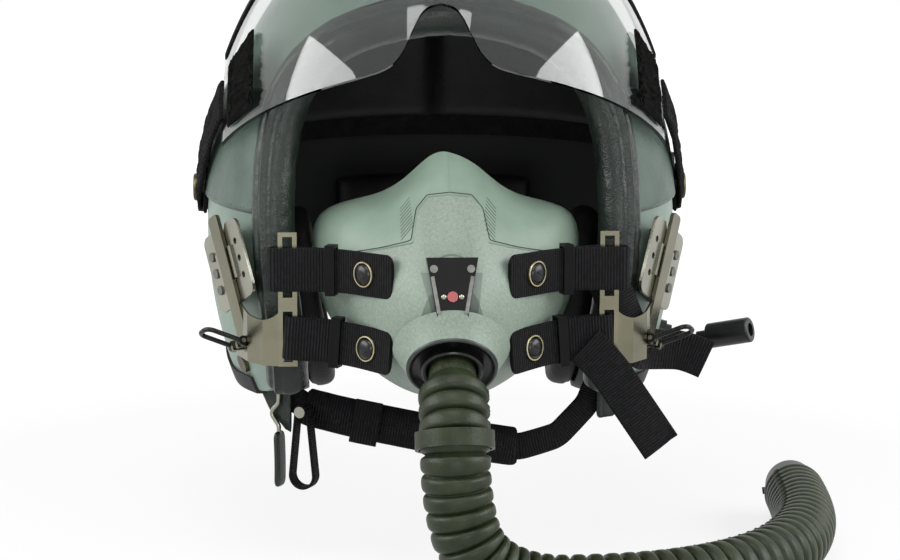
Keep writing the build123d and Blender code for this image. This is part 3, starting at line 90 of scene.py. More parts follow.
soft_box("left_box", (-0.98, -0.3, 0.46), (0, -0.05, 0.04), (1.0, 0.55), 11)
soft_box("right_box", (0.98, -0.3, 0.46), (0, -0.05, 0.04), (1.0, 0.55), 11)
soft_box("top_box", (-0.1, -0.75, 1.25), (0, 0, 0), (0.8, 0.6), 8)
soft_box("front_box", (0.1, -1.9, 0.3), (0, 0, 0), (0.6, 0.45), 7)


# %% Helpers for shader nodes
# A Mix node has sockets for each type of value: these are its two values and its result.
MIX_SOCKETS = {"RGBA": (6, 7, 2), "FLOAT": (2, 3, 0)}


def shader_node(tree, kind, operation=None, **values):
    """New shader node, with values set on its own sockets."""
    made = tree.nodes.new("ShaderNode" + kind)
    if operation:
        made.operation = operation
    for socket, value in values.items():
        made.inputs[socket.replace("_", " ")].default_value = value
    return made


def ranged(tree, source, low, high, start=0.0, end=1.0):
    """The source's span from start to end, stretched to low and high."""
    span = shader_node(tree, "MapRange", From_Min=start, From_Max=end, To_Min=low, To_Max=high)
    tree.links.new(source, span.inputs["Value"])
    return span.outputs["Result"]


def mixed(tree, kind, share, *values):
    """Mix of two values by the share in a socket. Each value is a socket too, or a constant."""
    *inputs, result = MIX_SOCKETS[kind]
    mix = shader_node(tree, "Mix")
    mix.data_type = kind
    tree.links.new(share, mix.inputs[0])
    for index, value in zip(inputs, values):
        if isinstance(value, bpy.types.NodeSocket):
            tree.links.new(value, mix.inputs[index])
        else:
            mix.inputs[index].default_value = value
    return mix.outputs[result]


def seen_rays(tree):
    """One for the camera's rays, for reflections and through glass, and zero for light on the object."""
    path = shader_node(tree, "LightPath")
    seen = path.outputs["Is Camera Ray"]
    for ray in ("Is Glossy Ray", "Is Transmission Ray"):
        most = shader_node(tree, "Math", "MAXIMUM")
        tree.links.new(seen, most.inputs[0])
        tree.links.new(path.outputs[ray], most.inputs[1])
        seen = most.outputs[0]
    return seen


# %% A helper for objects
def object_from(bm, name, coat, sharp=None, smooth=True):
    """Linked object with one finish from a bmesh. Edges above the angle sharp, in degrees, stay sharp."""
    for face in bm.faces:
        face.smooth = smooth
    mesh = bpy.data.meshes.new(name)
    bm.to_mesh(mesh)
    bm.free()
    if sharp:
        mesh.set_sharp_from_angle(angle=math.radians(sharp))
    mesh.materials.append(coat)
    made = bpy.data.objects.new(name, mesh)
    bpy.context.collection.objects.link(made)
    return made


# %% Floor
FLOOR_HEIGHT = -0.1603
paper = bpy.data.materials.new("floor_paper")
paper.use_nodes = True
tree = paper.node_tree
tree.nodes.clear()
plain = shader_node(tree, "BsdfDiffuse", Color=(0.85, 0.85, 0.85, 1))
glow = shader_node(tree, "Emission")
# the glow grows with the distance from the object, so that the floor fades to white
away = shader_node(tree, "VectorMath", "LENGTH")
tree.links.new(shader_node(tree, "TexCoord").outputs["Object"], away.inputs[0])
tree.links.new(ranged(tree, away.outputs["Value"], 1.0, 1.4, start=0.35, end=1.2), glow.inputs["Strength"])
paper_mix = shader_node(tree, "MixShader")
tree.links.new(ranged(tree, seen_rays(tree), 0.0, 0.8), paper_mix.inputs["Fac"])
tree.links.new(plain.outputs[0], paper_mix.inputs[1])
tree.links.new(glow.outputs[0], paper_mix.inputs[2])
tree.links.new(paper_mix.outputs[0], shader_node(tree, "OutputMaterial").inputs["Surface"])

bm = bmesh.new()
bmesh.ops.create_grid(bm, x_segments=1, y_segments=1, size=6)
floor = object_from(bm, "floor", paper, smooth=False)
floor.location = (0, 0, FLOOR_HEIGHT)

# %% World
world = bpy.data.worlds.new("studio")
world.use_nodes = True
bpy.context.scene.world = world
sky = world.node_tree
back = sky.nodes["Background"]
back.inputs["Color"].default_value = (1, 1, 1, 1)
sky.links.new(ranged(sky, seen_rays(sky), 0.3, 1.0), back.inputs["Strength"])
bpy.context.scene.view_settings.view_transform = "Standard"

# %% [markdown]
# ## Finishes
# Every finish starts as one principled shader with its plain colour, shine and metal set on it.
# A noise then varies the colour between two close tones, and one or two fine patterns give relief.
# Patterns use object coordinates in metres, so a scale of 400 means features of about 2.5 mm.

# %% A helper for finishes
def srgb(*levels):
    """Colour from 0-255 levels, as the shader wants it."""
    values = [level / 255 for level in levels]
    return tuple(v / 12.92 if v <= 0.04045 else ((v + 0.055) / 1.055) ** 2.4 for v in values) + (1,)


def relief(tree, source, kind, scale):
    """Height pattern: grain of leather, ribs along or across cloth, or plain noise."""
    if kind == "grain":
        pattern = shader_node(tree, "TexVoronoi", Scale=scale)
    elif kind == "noise":
        pattern = shader_node(tree, "TexNoise", Scale=scale, Detail=4)
    else:
        pattern = shader_node(tree, "TexWave", Scale=scale, Distortion=0.3)
        pattern.bands_direction = "X" if kind == "ribs" else "Y"
    tree.links.new(source, pattern.inputs["Vector"])
    return pattern.outputs["Distance" if kind == "grain" else "Fac"]


def finish(name, dark, light, rough, vary=60, reliefs=(), metal=0.0, gloss=0.5, along_uv=False, ribbed=0,
           **values):
    """Material with two tones, a roughness range and relief patterns of (kind, scale, depth in mm).

    Ribbed cloth gets painted shade in the grooves between its ribs, at the scale that ribbed gives.
    """
    material = bpy.data.materials.new(name)
    material.use_nodes = True
    tree = material.node_tree
    shader = tree.nodes["Principled BSDF"]
    for socket, value in dict(values, Metallic=metal, Specular_IOR_Level=gloss).items():
        shader.inputs[socket.replace("_", " ")].default_value = value
    place = shader_node(tree, "TexCoord")
    source = place.outputs["UV" if along_uv else "Object"]
    patches = shader_node(tree, "TexNoise", Scale=vary, Detail=6)
    tree.links.new(place.outputs["Object"], patches.inputs["Vector"])
    tones = shader_node(tree, "ValToRGB")
    for end, position, tone in zip(tones.color_ramp.elements, (0.32, 0.68), (dark, light)):
        end.position, end.color = position, srgb(*tone)
    tree.links.new(patches.outputs["Fac"], tones.inputs["Fac"])
    colour = tones.outputs["Color"]
    # painted shade: the colour is mixed towards near-black in the grooves between the ribs
    if ribbed:
        colour = mixed(tree, "RGBA", relief(tree, source, "ribs", ribbed), srgb(2, 2, 3), colour)
    tree.links.new(colour, shader.inputs["Base Color"])
    tree.links.new(ranged(tree, patches.outputs["Fac"], *rough), shader.inputs["Roughness"])
    normal = None
    for kind, scale, depth in reliefs:
        bump = shader_node(tree, "Bump", Distance=depth * MM)
        tree.links.new(relief(tree, source, kind, scale), bump.inputs["Height"])
        if normal:
            tree.links.new(normal, bump.inputs["Normal"])
        normal = bump.outputs["Normal"]
    if normal:
        tree.links.new(normal, shader.inputs["Normal"])
    return material


# %% The finishes of the helmet
shell_paint = finish("shell_paint", (100, 117, 106), (112, 129, 118), (0.36, 0.5), 40,
                     [("noise", 900, 0.05), ("noise", 90, 0.1)], gloss=0.35)
dark_leather = finish("dark_leather", (19, 26, 23), (34, 43, 38), (0.28, 0.44), 35,
                      [("grain", 900, 0.14), ("noise", 120, 0.5)], gloss=0.32)
cover_leather = finish("cover_leather", (58, 72, 65), (74, 89, 81), (0.38, 0.52), 45,
                       [("grain", 1100, 0.12), ("noise", 160, 0.25)], gloss=0.3)
welt_rubber = finish("welt_rubber", (10, 11, 11), (20, 22, 21), (0.5, 0.7), 80, [("noise", 500, 0.1)],
                     gloss=0.25)
liner_foam = finish("liner_foam", (14, 15, 15), (25, 26, 25), (0.85, 0.95), 120, [("grain", 1400, 0.25)],
                    gloss=0.1)
liner_leather = finish("liner_leather", (12, 13, 13), (24, 25, 24), (0.5, 0.65), 60,
                       [("grain", 900, 0.12), ("noise", 150, 0.3)], gloss=0.25)
cup_plastic = finish("cup_plastic", (38, 43, 40), (50, 55, 51), (0.5, 0.62), 70, [("noise", 1500, 0.05)],
                     gloss=0.3)
black_plastic = finish("black_plastic", (5, 5, 6), (12, 12, 13), (0.2, 0.36), 90, [("noise", 1200, 0.03)],
                       gloss=0.35)
cover_black = finish("cover_black", (4, 4, 5), (9, 9, 10), (0.34, 0.46), 90, [("noise", 1200, 0.03)],
                     gloss=0.12)
jack_plastic = finish("jack_plastic", (8, 9, 11), (17, 18, 21), (0.28, 0.4), 90, [("noise", 900, 0.03)],
                      gloss=0.35)
# the webbing and the elastic get painted shade in the grooves between their ribs
black_webbing = finish("black_webbing", (14, 14, 16), (38, 38, 42), (0.6, 0.8), 400,
                       [("ribs", 209, 1.0), ("cross", 520, 0.3)], along_uv=True, ribbed=209,
                       gloss=0.16)
elastic_web = finish("elastic_web", (10, 10, 11), (30, 30, 32), (0.7, 0.85), 300,
                     [("ribs", 200, 0.5), ("cross", 420, 0.3)], along_uv=True, ribbed=200, gloss=0.12)
tab_cloth = finish("tab_cloth", (5, 5, 6), (20, 20, 21), (0.75, 0.9), 500,
                   [("noise", 1100, 0.9), ("cross", 150, 0.5)], gloss=0.1)
rough_pile = finish("rough_pile", (4, 4, 4), (24, 24, 23), (0.9, 1.0), 700, [("noise", 1600, 1.5)],
                    gloss=0.08)
pull_leather = finish("pull_leather", (70, 72, 68), (92, 94, 89), (0.6, 0.75), 90, [("grain", 1300, 0.15)],
                      gloss=0.2)
snap_brass = finish("snap_brass", (150, 143, 112), (188, 181, 148), (0.24, 0.4), 200,
                    [("noise", 700, 0.05)], 1.0)
bright_steel = finish("bright_steel", (134, 134, 122), (152, 152, 140), (0.22, 0.34), 40,
                      [("noise", 700, 0.04)], 1.0)
scoop_steel = finish("scoop_steel", (104, 102, 86), (122, 120, 102), (0.2, 0.3), 40,
                     [("noise", 700, 0.04)], 1.0)
dull_brass = finish("dull_brass", (66, 62, 48), (96, 90, 68), (0.34, 0.5), 200,
                    [("noise", 700, 0.06)], 1.0)
worn_steel = finish("worn_steel", (92, 92, 88), (118, 118, 114), (0.42, 0.56), 300,
                    [("noise", 900, 0.05)], 1.0)
black_steel = finish("black_steel", (22, 23, 22), (44, 45, 43), (0.22, 0.36), 300,
                     [("noise", 900, 0.06)], 0.8)
spacer_brown = finish("spacer_brown", (52, 42, 26), (74, 62, 40), (0.5, 0.65), 300, [("cross", 420, 0.15)],
                      gloss=0.3)

# %% The finishes of the mask, the hose and the visor
mask_rubber = finish("mask_rubber", (112, 130, 116), (124, 142, 128), (0.42, 0.54), 50,
                     [("noise", 1800, 0.05), ("noise", 120, 0.12)], gloss=0.4)
mask_composite = finish("mask_composite", (108, 121, 110), (128, 141, 129), (0.4, 0.54), 900,
                        [("grain", 1700, 0.06), ("noise", 600, 0.06)], gloss=0.4)
rim_paint = finish("rim_paint", (32, 38, 34), (46, 53, 48), (0.32, 0.46), 300, [("noise", 900, 0.05)],
                   gloss=0.4)
button_red = finish("button_red", (129, 5, 5), (159, 10, 9), (0.25, 0.36), 200)
silicone = finish("silicone", (168, 166, 156), (186, 184, 174), (0.35, 0.5), 80)
hose_rubber = finish("hose_rubber", (24, 32, 16), (38, 47, 27), (0.36, 0.5), 90,
                     [("noise", 700, 0.15), ("noise", 90, 0.25)], gloss=0.25)
clear_visor = finish("clear_visor", (222, 227, 225), (226, 231, 229), (0.015, 0.03), 10,
                     Transmission_Weight=1.0, IOR=1.45)

# %% The shell's bare inner wall
HALF_SIZES = (127, 148, 175)
MIDDLE_Z = 10
BARE_WALL_DEPTH = 1.8


def inner_wall(material, tone, rough):
    """Gives the painted shell a dark inner side: whatever lies inside a slightly smaller ellipsoid."""
    sizes = [half - BARE_WALL_DEPTH for half in HALF_SIZES]
    tree = material.node_tree
    shader = tree.nodes["Principled BSDF"]
    scaled = shader_node(tree, "Mapping", Scale=[1 / (size * MM) for size in sizes],
                         Location=[0, 0, -MIDDLE_Z / sizes[2]])
    length = shader_node(tree, "VectorMath", "LENGTH")
    inside = shader_node(tree, "Math", "LESS_THAN")
    inside.inputs[1].default_value = 1
    tree.links.new(shader_node(tree, "TexCoord").outputs["Object"], scaled.inputs["Vector"])
    tree.links.new(scaled.outputs["Vector"], length.inputs[0])
    tree.links.new(length.outputs["Value"], inside.inputs[0])
    for socket, kind, value in (("Base Color", "RGBA", tone), ("Roughness", "FLOAT", rough)):
        before = shader.inputs[socket].links[0].from_socket
        tree.links.new(mixed(tree, kind, inside.outputs[0], before, value), shader.inputs[socket])


inner_wall(shell_paint, srgb(24, 26, 25), 0.8)

# %% [markdown]
# ## Painting the hard parts
# The hard parts keep their own meshes. Each gets the finish that its real piece has:
# satin steel on the receivers, painted composite on the shell, black nylon on the small fittings.

# %% Paint the hard parts
coats = {
    shell_paint: ["outer_shell"],
    liner_foam: ["foam_liner"],
    welt_rubber: ["shell_welt", "visor_trim", "receiver_pads"],
    cup_plastic: ["ear_cups"],
    black_plastic: ["earphones", "strap_buckles", "valve_seats", "inlet_cup", "microphone", "comms_gland"],
    cover_black: ["valve_cover", "strap_keepers"],
    jack_plastic: ["end_connector", "comms_jack", "hose_cuff"],
    dull_brass: ["snap_studs"],
    bright_steel: ["receiver_plates", "lever_pins", "hanging_studs", "wire_hook"],
    scoop_steel: ["bayonets"],
    worn_steel: ["receiver_rivets", "cover_rails", "cover_screws"],
    black_steel: ["release_lever_left", "release_lever_right"],
    spacer_brown: ["receiver_spacers"],
    mask_rubber: ["mask_facepiece"],
    mask_composite: ["mask_hardshell"],
    button_red: ["test_button"],
    silicone: ["inhale_disc", "exhale_disc"],
    hose_rubber: ["hose_clamp"],
}
for coat, names in coats.items():
    for name in names:
        nodes[name].data.materials.clear()
        nodes[name].data.materials.append(coat)
print("finishes on hard parts:", sum(len(names) for names in coats.values()))


# %% [markdown]
# ## One helper for sheets, pads and tubes
# A flat grid is the simplest start for anything soft. Each of its corners knows how far along and how far
# across it lies, and a small function says where that place is on the real piece.
# A pad closes the grid round on itself and fills its ends. A sheet gets a thickness afterwards.

# %% Tying a piece to the model
def tied(piece, body, node=None):
    """The piece, riding on a body and standing for a hard part's node when one is named."""
    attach(piece, body)
    if node:
        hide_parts(node)
    return piece


# %% Forming a grid into a piece
def formed(name, place, along, across, coat, body, node=None, slot=None, wrap=True, ring=False,
           size=(1, 1), thick=0):
    """Grid of cells bent by place(u, v), with u along and v across or round the piece.

    A wrapped grid closes round v and has its two ends filled, or joined to each other when it is a ring.
    Any other grid is a sheet, which gets a thickness in millimetres. Size is the pattern's size in metres.
    """
    bm = bmesh.new()
    bmesh.ops.create_grid(bm, x_segments=along, y_segments=across, size=0.5)
    flat = bm.loops.layers.uv.new("UVMap")
    for face in bm.faces:
        for loop in face.loops:
            loop[flat].uv = ((loop.vert.co.x + 0.5) * size[0], (loop.vert.co.y + 0.5) * size[1])
    for vert in bm.verts:
        vert.co = Vector(place(vert.co.x + 0.5, vert.co.y + 0.5)) * MM
    bmesh.ops.remove_doubles(bm, verts=bm.verts, dist=0.00001)
    if wrap and not ring:
        bmesh.ops.holes_fill(bm, edges=[edge for edge in bm.edges if edge.is_boundary], sides=0)
    bmesh.ops.recalc_face_normals(bm, faces=bm.faces)
    if not wrap:
        bmesh.ops.solidify(bm, geom=bm.faces, thickness=thick * MM)
        bmesh.ops.recalc_face_normals(bm, faces=bm.faces)
    return tied(object_from(bm, name, coat, sharp=55), body, node)


# %% Lines and bands
def curve_along(name, lines, steps, order=3):
    """Curve data with one smooth spline for each line of control points."""
    curve = bpy.data.curves.new(name, "CURVE")
    curve.dimensions, curve.resolution_u = "3D", steps
    for places in lines:
        spline = curve.splines.new("NURBS")
        spline.points.add(len(places) - 1)
        for point, place in zip(spline.points, places):
            point.co = (*place, 1)
        spline.order_u, spline.use_endpoint_u = order, True
    return curve


def smooth_line(points, count, order=3):
    """Even places along a smooth curve whose control points these are, and its length, in millimetres."""
    holder = bpy.data.objects.new("line", curve_along("line", [points], 16, order))
    raw = np.array([vert.co[:] for vert in bpy.data.meshes.new_from_object(holder).vertices])
    bpy.data.objects.remove(holder)
    steps = np.concatenate([[0], np.cumsum(np.linalg.norm(np.diff(raw, axis=0), axis=1))])
    even = np.linspace(0, steps[-1], count)
    return np.stack([np.interp(even, steps, raw[:, axis]) for axis in range(3)], axis=1), steps[-1]


def along_line(line, share):
    """Place and direction at a share of a line's length."""
    last = len(line) - 1
    where = min(max(share, 0), 1) * last
    index = min(int(where), last - 1)
    place = Vector(line[index]).lerp(Vector(line[index + 1]), where - index)
    ahead = Vector(line[min(index + 2, last)]) - Vector(line[max(index - 1, 0)])
    return place, ahead.normalized()


def outline(turn, width, thick):
    """Round a flat band's section with rounded edges: across and out from its middle, in millimetres."""
    flat, edge = width - thick, math.pi * thick / 2
    at = turn % 1 * 2 * (flat + edge)
    if at < flat:
        return at - flat / 2, thick / 2
    if at < flat + edge:
        angle = (at - flat) * 2 / thick
        return flat / 2 + math.sin(angle) * thick / 2, math.cos(angle) * thick / 2
    if at < 2 * flat + edge:
        return flat / 2 - (at - flat - edge), -thick / 2
    angle = (at - 2 * flat - edge) * 2 / thick
    return -flat / 2 - math.sin(angle) * thick / 2, -math.cos(angle) * thick / 2

# %% [markdown]
# ## The breathing hose
# The hose is moulded rubber with a rib every 8.5 mm, which lets it bend without kinking.
# Its line is a smooth curve from the mask's inlet down to the floor and round to the right.
# The tube is one grid wrapped round that line, and its radius swells at each rib.

# %% Hose line
HOSE_START = Vector((0, -172.28, -42.11))
HOSE_LOW = -143
HOSE_POINTS = [HOSE_START, (0, -198.32, -63.96), (1, -200, -98), (9, -201, -127), (36, -197, HOSE_LOW),
               (72, -196, HOSE_LOW), (108, -188, HOSE_LOW), (143, -167, HOSE_LOW), (171, -134, HOSE_LOW),
               (188, -91, HOSE_LOW), (196, -47, HOSE_LOW), (198, -6, HOSE_LOW)]
hose_line, hose_length = smooth_line(HOSE_POINTS, 500)
print("hose length", round(hose_length, 1), "mm")


# %% Hose tube
RIB_PITCH, RIB_HEIGHT = 8.5, 3.65
HOSE_CORE, NECK_RADIUS, NECK_FLARE = 13.3, 11.4, 1.9
NECK_LENGTH, NECK_TEETH = 9, 28


def hose_place(share, turn):
    place, ahead = along_line(hose_line, share)
    side = ahead.cross(Vector((0.35, -0.35, 0.87))).normalized()
    up = side.cross(ahead)
    past = share * hose_length - NECK_LENGTH
    phase = past % RIB_PITCH / RIB_PITCH
    crest = (1 - abs(2 * phase - 1) ** 3.4) ** 0.6 if past > 0 else 0
    radius = HOSE_CORE + RIB_HEIGHT * crest
    angle = 2 * math.pi * turn
    if past < 0:
        radius = NECK_RADIUS + NECK_FLARE * max(0, 1 + past / 4.5) ** 0.6
        radius += 0.35 * max(0, math.cos(NECK_TEETH * angle)) * (past > -8.6) * (past < -4.2)
    # the mould's parting line runs along the hose as a thin ridge over the ribs, and wanders a little
    flash = 0.7 * max(0, 1 - abs((turn - 0.43 + 0.014 * math.sin(past * 2 * math.pi / RIB_PITCH)) / 0.014))
    return place + (side * math.cos(angle) + up * math.sin(angle)) * (radius + flash * crest)


hose = formed("ribbed_hose", hose_place, 780, 84, hose_rubber, "mask", "breathing_hose", "hose_green",
              size=(hose_length * MM, 0.1))

# %% [markdown]
# ## The communication lead
# A short stiff lead leaves the shell's left flank and ends in a black jack.

# %% A helper for round beads
def tube(name, lines, radius, coat, body, node=None, steps=6, facets=2):
    """Round bead along each line of places in millimetres, as one curve object."""
    curve = curve_along(name, [[Vector(place) * MM for place in places] for places in lines], steps)
    curve.bevel_depth, curve.bevel_resolution, curve.use_fill_caps = radius * MM, facets, True
    curve.materials.append(coat)
    bead = bpy.data.objects.new(name, curve)
    bpy.context.collection.objects.link(bead)
    return tied(bead, body, node)


# %% Lead
LEAD_POINTS = [(126.14, -12.5, -49.73), (134.84, -13.14, -51.96), (135.5, -26, -52), (128.4, -47.8, -48),
               (136.18, -51.87, -46.01)]
lead = tube("comms_flex", [LEAD_POINTS], 2.2, welt_rubber, "helmet", "comms_lead", steps=12,
            facets=5)

# %% [markdown]
# ## The shell as a reference surface
# The shell is an ellipsoid about 254 by 296 by 350 mm, cut at its front and lower edges.
# Leather, straps and pads all lie on it, so one function gives a place on it, raised or sunk.

# %% Places on the shell
# depths and heights along each edge
FRONT_EDGE = np.array([(-66, -70), (-88.1, -60), (-96.9, -35), (-98, 0), (-95, 32), (-88.1, 67.9),
                       (-84.1, 95), (-88.1, 116), (-100.9, 136), (-122, 151.9)]).T
LOWER_EDGE = np.array([(-66, -70), (-30, -71), (14.9, -61.9), (59.9, -46), (110, -38), (160, -33.9)]).T


def flank(y, z, out=0):
    """Half-width of the shell at a place in side view, raised by out."""
    rest = 1 - (y / (HALF_SIZES[1] + out)) ** 2 - ((z - MIDDLE_Z) / (HALF_SIZES[2] + out)) ** 2
    return (HALF_SIZES[0] + out) * math.sqrt(max(rest, 0))


def round_shell(angle, z, out=0):
    """Place at an angle round the shell, from the front towards the left, at a height."""
    rest = math.sqrt(max(1 - ((z - MIDDLE_Z) / (HALF_SIZES[2] + out)) ** 2, 0))
    return Vector(((HALF_SIZES[0] + out) * rest * math.sin(angle),
                   -(HALF_SIZES[1] + out) * rest * math.cos(angle), z))


def shell_out(point):
    """Direction straight out of the shell at a place."""
    x, y, z = point
    steep = (x / HALF_SIZES[0] ** 2, y / HALF_SIZES[1] ** 2, (z - MIDDLE_Z) / HALF_SIZES[2] ** 2)
    return Vector(steep).normalized()


def front_edge(z):
    """Depth of the shell's front edge at a height."""
    return float(np.interp(z, *FRONT_EDGE[::-1]))


def wrinkle(point, size, depth):
    """Soft unevenness of a surface: a few millimetres wide, a fraction of a millimetre deep."""
    return depth * noise.fractal(Vector(point) / size, 0.8, 2.2, 3)


def rounded(share):
    """Share of full thickness at a share of the way in from a rounded edge."""
    return math.sqrt(max(0, 1 - (1 - min(max(share, 0), 1)) ** 2))


def rounded_ends(share, run):
    """Share of full thickness where both ends are rounded over a share run of the length."""
    return rounded(min(share, 1 - share) / run)


def ridge(off, width):
    """Height of a soft ridge, one at its middle, at a distance off it."""
    return math.exp(-(off / width) ** 2)


# %% [markdown]
# ## The padded edge roll
# The front edge of the shell carries a thick roll of foam inside dark grey-green leather.
# A piping cord is sewn in along its outer side, and the leather creases where the roll turns a corner.
# The tube is round, with the piping as a narrow ridge, and it has a slot where the shell's edge goes in.

# %% Edge roll
ROLL = [(-84.1, -65.2), (-93.5, -47.8), (-97.7, -23.2), (-98, 4.8), (-95.5, 32), (-88.8, 64.2), (-84.1, 92.2),
        (-87, 113.2), (-94.4, 127.1), (-101.2, 136.3)]


def roll_middle():
    """The roll's middle line, five millimetres ahead of the shell's edge and as far inside its skin."""
    places = [Vector((flank(y, z), y, z)) for y, z in ROLL]
    line = []
    for index, place in enumerate(places):
        ahead = places[min(index + 1, len(places) - 1)] - places[max(index - 1, 0)]
        out = shell_out(place)
        forward = ahead.cross(out).normalized()
        forward = forward if forward.y < 0 else -forward
        line.append(place + forward * 5 - out * 5)
    return line + [Vector((-p.x, p.y, p.z)) for p in reversed(line)]


roll_line, roll_length = smooth_line(roll_middle(), 460)
ROLL_RADIUS, PIPING_ANGLE = 10.9, 0.3


def roll_place(share, turn):
    place, ahead = along_line(roll_line, share)
    out = shell_out(place)
    out = (out - ahead * out.dot(ahead)).normalized()
    forward = ahead.cross(out)
    forward = forward if forward.y < 0 else -forward
    angle = 2 * math.pi * turn
    off = abs((angle - PIPING_ANGLE + math.pi) % (2 * math.pi) - math.pi)
    piping = 1.3 * ridge(off, 0.11) - 0.5 * ridge(off - 0.27, 0.09)
    crease = wrinkle((share * 60, math.cos(angle) * 1.3, math.sin(angle) * 1.3), 1.0, 0.32)
    end = rounded_ends(share, 0.012)
    spot = place + (out * math.cos(angle) + forward * math.sin(angle)) * (ROLL_RADIUS + piping + crease) * end
    # what would lie in the shell's wall is moved ahead of its edge, which leaves the slot for it
    if flank(spot.y, spot.z, -3.4) < abs(spot.x) < flank(spot.y, spot.z, 0.4):
        spot.y = min(spot.y, front_edge(spot.z) - 0.5)
    return spot


roll = formed("padded_edge_roll", roll_place, 460, 64, dark_leather, "helmet", "edge_roll", "dark_leather",
              size=(roll_length * MM, 0.07))
print("edge roll length", round(roll_length), "mm")

# %% [markdown]
# ## Leather side covers
# A piece of grained leather is glued over each side of the shell, from under the roll to the visor's snap.
# It is thin, so it is a sheet on the shell's surface with turned edges and a row of stitches.

# %% Stitches
def stitches(name, places, coat, body, length=2.2, gap=1.4, size=0.45, lift=0.15):
    """Thread stitches along a row of (place, out) pairs in millimetres."""
    bm = bmesh.new()
    spots = [Vector(place) for place, _ in places]
    outs = [Vector(out) for _, out in places]
    steps = np.concatenate([[0], np.cumsum([(b - a).length for a, b in zip(spots, spots[1:])])])
    at = length / 2
    while at < steps[-1] - length / 2:
        spot, before, after, out = (
            Vector([float(np.interp(where, steps, [p[axis] for p in row])) for axis in range(3)])
            for where, row in ((at, spots), (at - 0.5, spots), (at + 0.5, spots), (at, outs)))
        ahead = (after - before).normalized()
        side = ahead.cross(out).normalized()
        turn = Matrix((ahead, side, ahead.cross(side))).transposed().to_4x4()
        shape = Matrix.Diagonal((length / 2, size, size, 1))
        move = Matrix.Translation((spot + out.normalized() * lift) * MM)
        bmesh.ops.create_uvsphere(bm, u_segments=8, v_segments=5, radius=1,
                                  matrix=move @ turn @ Matrix.Scale(MM, 4) @ shape)
        at += length + gap
    return tied(object_from(bm, name, coat), body)


dark_thread = finish("dark_thread", (30, 33, 32), (46, 50, 48), (0.6, 0.8), 900, [("noise", 2500, 0.05)])

# %% Side covers
COVER_FOOT, COVER_HEIGHT, COVER_BACK = 27.2, 62, -16.3
STITCH_ROW = 29.6
for side, word in SIDES:
    def cover_place(share, rise, side=side):
        z = COVER_FOOT + COVER_HEIGHT * rise
        start = front_edge(z) + 1.5
        y = start + (COVER_BACK - start) * share
        edge = min(1 - share, 0.85 * min(rise, 1 - rise)) * 72
        out = 0.4 + 1.0 * rounded(edge / 1.6) + 0.25 * ridge(edge - 2.2, 1.2)
        out += wrinkle((y, z, side * 9), 9, 0.16)
        return (side * flank(y, z, out), y, z)
    formed(f"side_leather_{word}", cover_place, 96, 84, cover_leather, "helmet", "side_covers",
           "dark_leather", wrap=False, size=(0.08, 0.062), thick=-0.35)
    row = []
    for step in range(61):
        y = -88 + 70 * step / 60
        row.append(((side * flank(y, STITCH_ROW, 1.45), y, STITCH_ROW),
                    shell_out((side * flank(y, STITCH_ROW), y, STITCH_ROW))))
    stitches(f"side_stitches_{word}", row, dark_thread, "helmet")

# %% [markdown]
# ## Comfort liner
# Inside the shell a leather-covered pad in four fields keeps the head away from the hard foam.
# It hugs the dome, is thickest in the middle of each field and thins out at its edge and at the channels.

# %% Comfort liner
COMFORT = [half - 17.75 for half in HALF_SIZES]
PAD_FOOT, BEHIND_EDGE, PAD_COLUMNS = 58.5, 24.5, 144


def comfort_rim(azimuth):
    """How far down from the crown the pad reaches in one direction, as an angle."""
    lowest = 0
    for step in range(1, 200):
        down = step * math.pi / 400
        y = -COMFORT[1] * math.sin(down) * math.cos(azimuth)
        z = MIDDLE_Z + COMFORT[2] * math.cos(down)
        if z < PAD_FOOT or y < front_edge(z) + BEHIND_EDGE:
            break
        lowest = down
    return lowest


rims = [comfort_rim(2 * math.pi * step / PAD_COLUMNS) for step in range(PAD_COLUMNS + 1)]


def comfort_place(turn, run):
    azimuth = 2 * math.pi * turn
    rim = float(np.interp(turn * PAD_COLUMNS, range(PAD_COLUMNS + 1), rims))
    inner = run > 0.5
    share = 2 * (1 - run) if inner else 2 * run
    share = 1 - (1 - share) ** 1.35
    down = rim * share
    flat = Vector((COMFORT[0] * math.sin(down) * math.sin(azimuth),
                   -COMFORT[1] * math.sin(down) * math.cos(azimuth), COMFORT[2] * math.cos(down)))
    if not inner:
        return flat + Vector((0, 0, MIDDLE_Z))
    edge = (rim - down) * 125
    groove = max(ridge(flat.x, 3.6), ridge(flat.y, 3.6))
    thick = 8.8 * rounded(edge / 9) * (1 - 0.55 * groove) + wrinkle(flat, 14, 0.3) * rounded(edge / 20)
    return flat * (1 - max(thick, 0.05) / 120) + Vector((0, 0, MIDDLE_Z))


comfort = formed("comfort_pads", comfort_place, PAD_COLUMNS, 120, liner_leather, "helmet", "comfort_liner",
                 "comfort_leather", size=(0.4, 0.3))

# %% [markdown]
# ## Nape pad
# A thicker pad at the back of the helmet carries its weight on the neck.

# %% Nape pad
def blunt(value, power):
    """Sine or cosine with its round shape squared off towards a box by a power below one."""
    return math.copysign(abs(value) ** power, value)


def pillow(turn, wide=0.5, deep=0.75):
    """Rounded box section: share across from -1 to 1 and share of the thickness from 0 to 1."""
    angle = 2 * math.pi * turn
    return blunt(math.cos(angle), wide), 0.5 + 0.5 * blunt(math.sin(angle), deep)


NAPE_SINK, NAPE_DEPTH = 3.6, 15.5


def nape_place(share, turn):
    across, depth = pillow(turn)
    end = rounded_ends(share, 0.1)
    depth = 0.5 + (depth - 0.5) * end
    x, z = -57.5 + 115 * share, -2 + 23.5 * across * (0.93 + 0.07 * end)
    sink = NAPE_SINK + NAPE_DEPTH * (1 - depth)
    sink += wrinkle((x, z, depth * 9), 11, 0.35) * (1 - depth)
    wide, deep, high = (half - sink for half in HALF_SIZES)
    return x, deep * math.sqrt(1 - (x / wide) ** 2 - ((z - MIDDLE_Z) / high) ** 2), z


nape = formed("nape_cushion", nape_place, 90, 56, liner_leather, "helmet", "nape_pad", "comfort_leather",
              size=(0.116, 0.13))

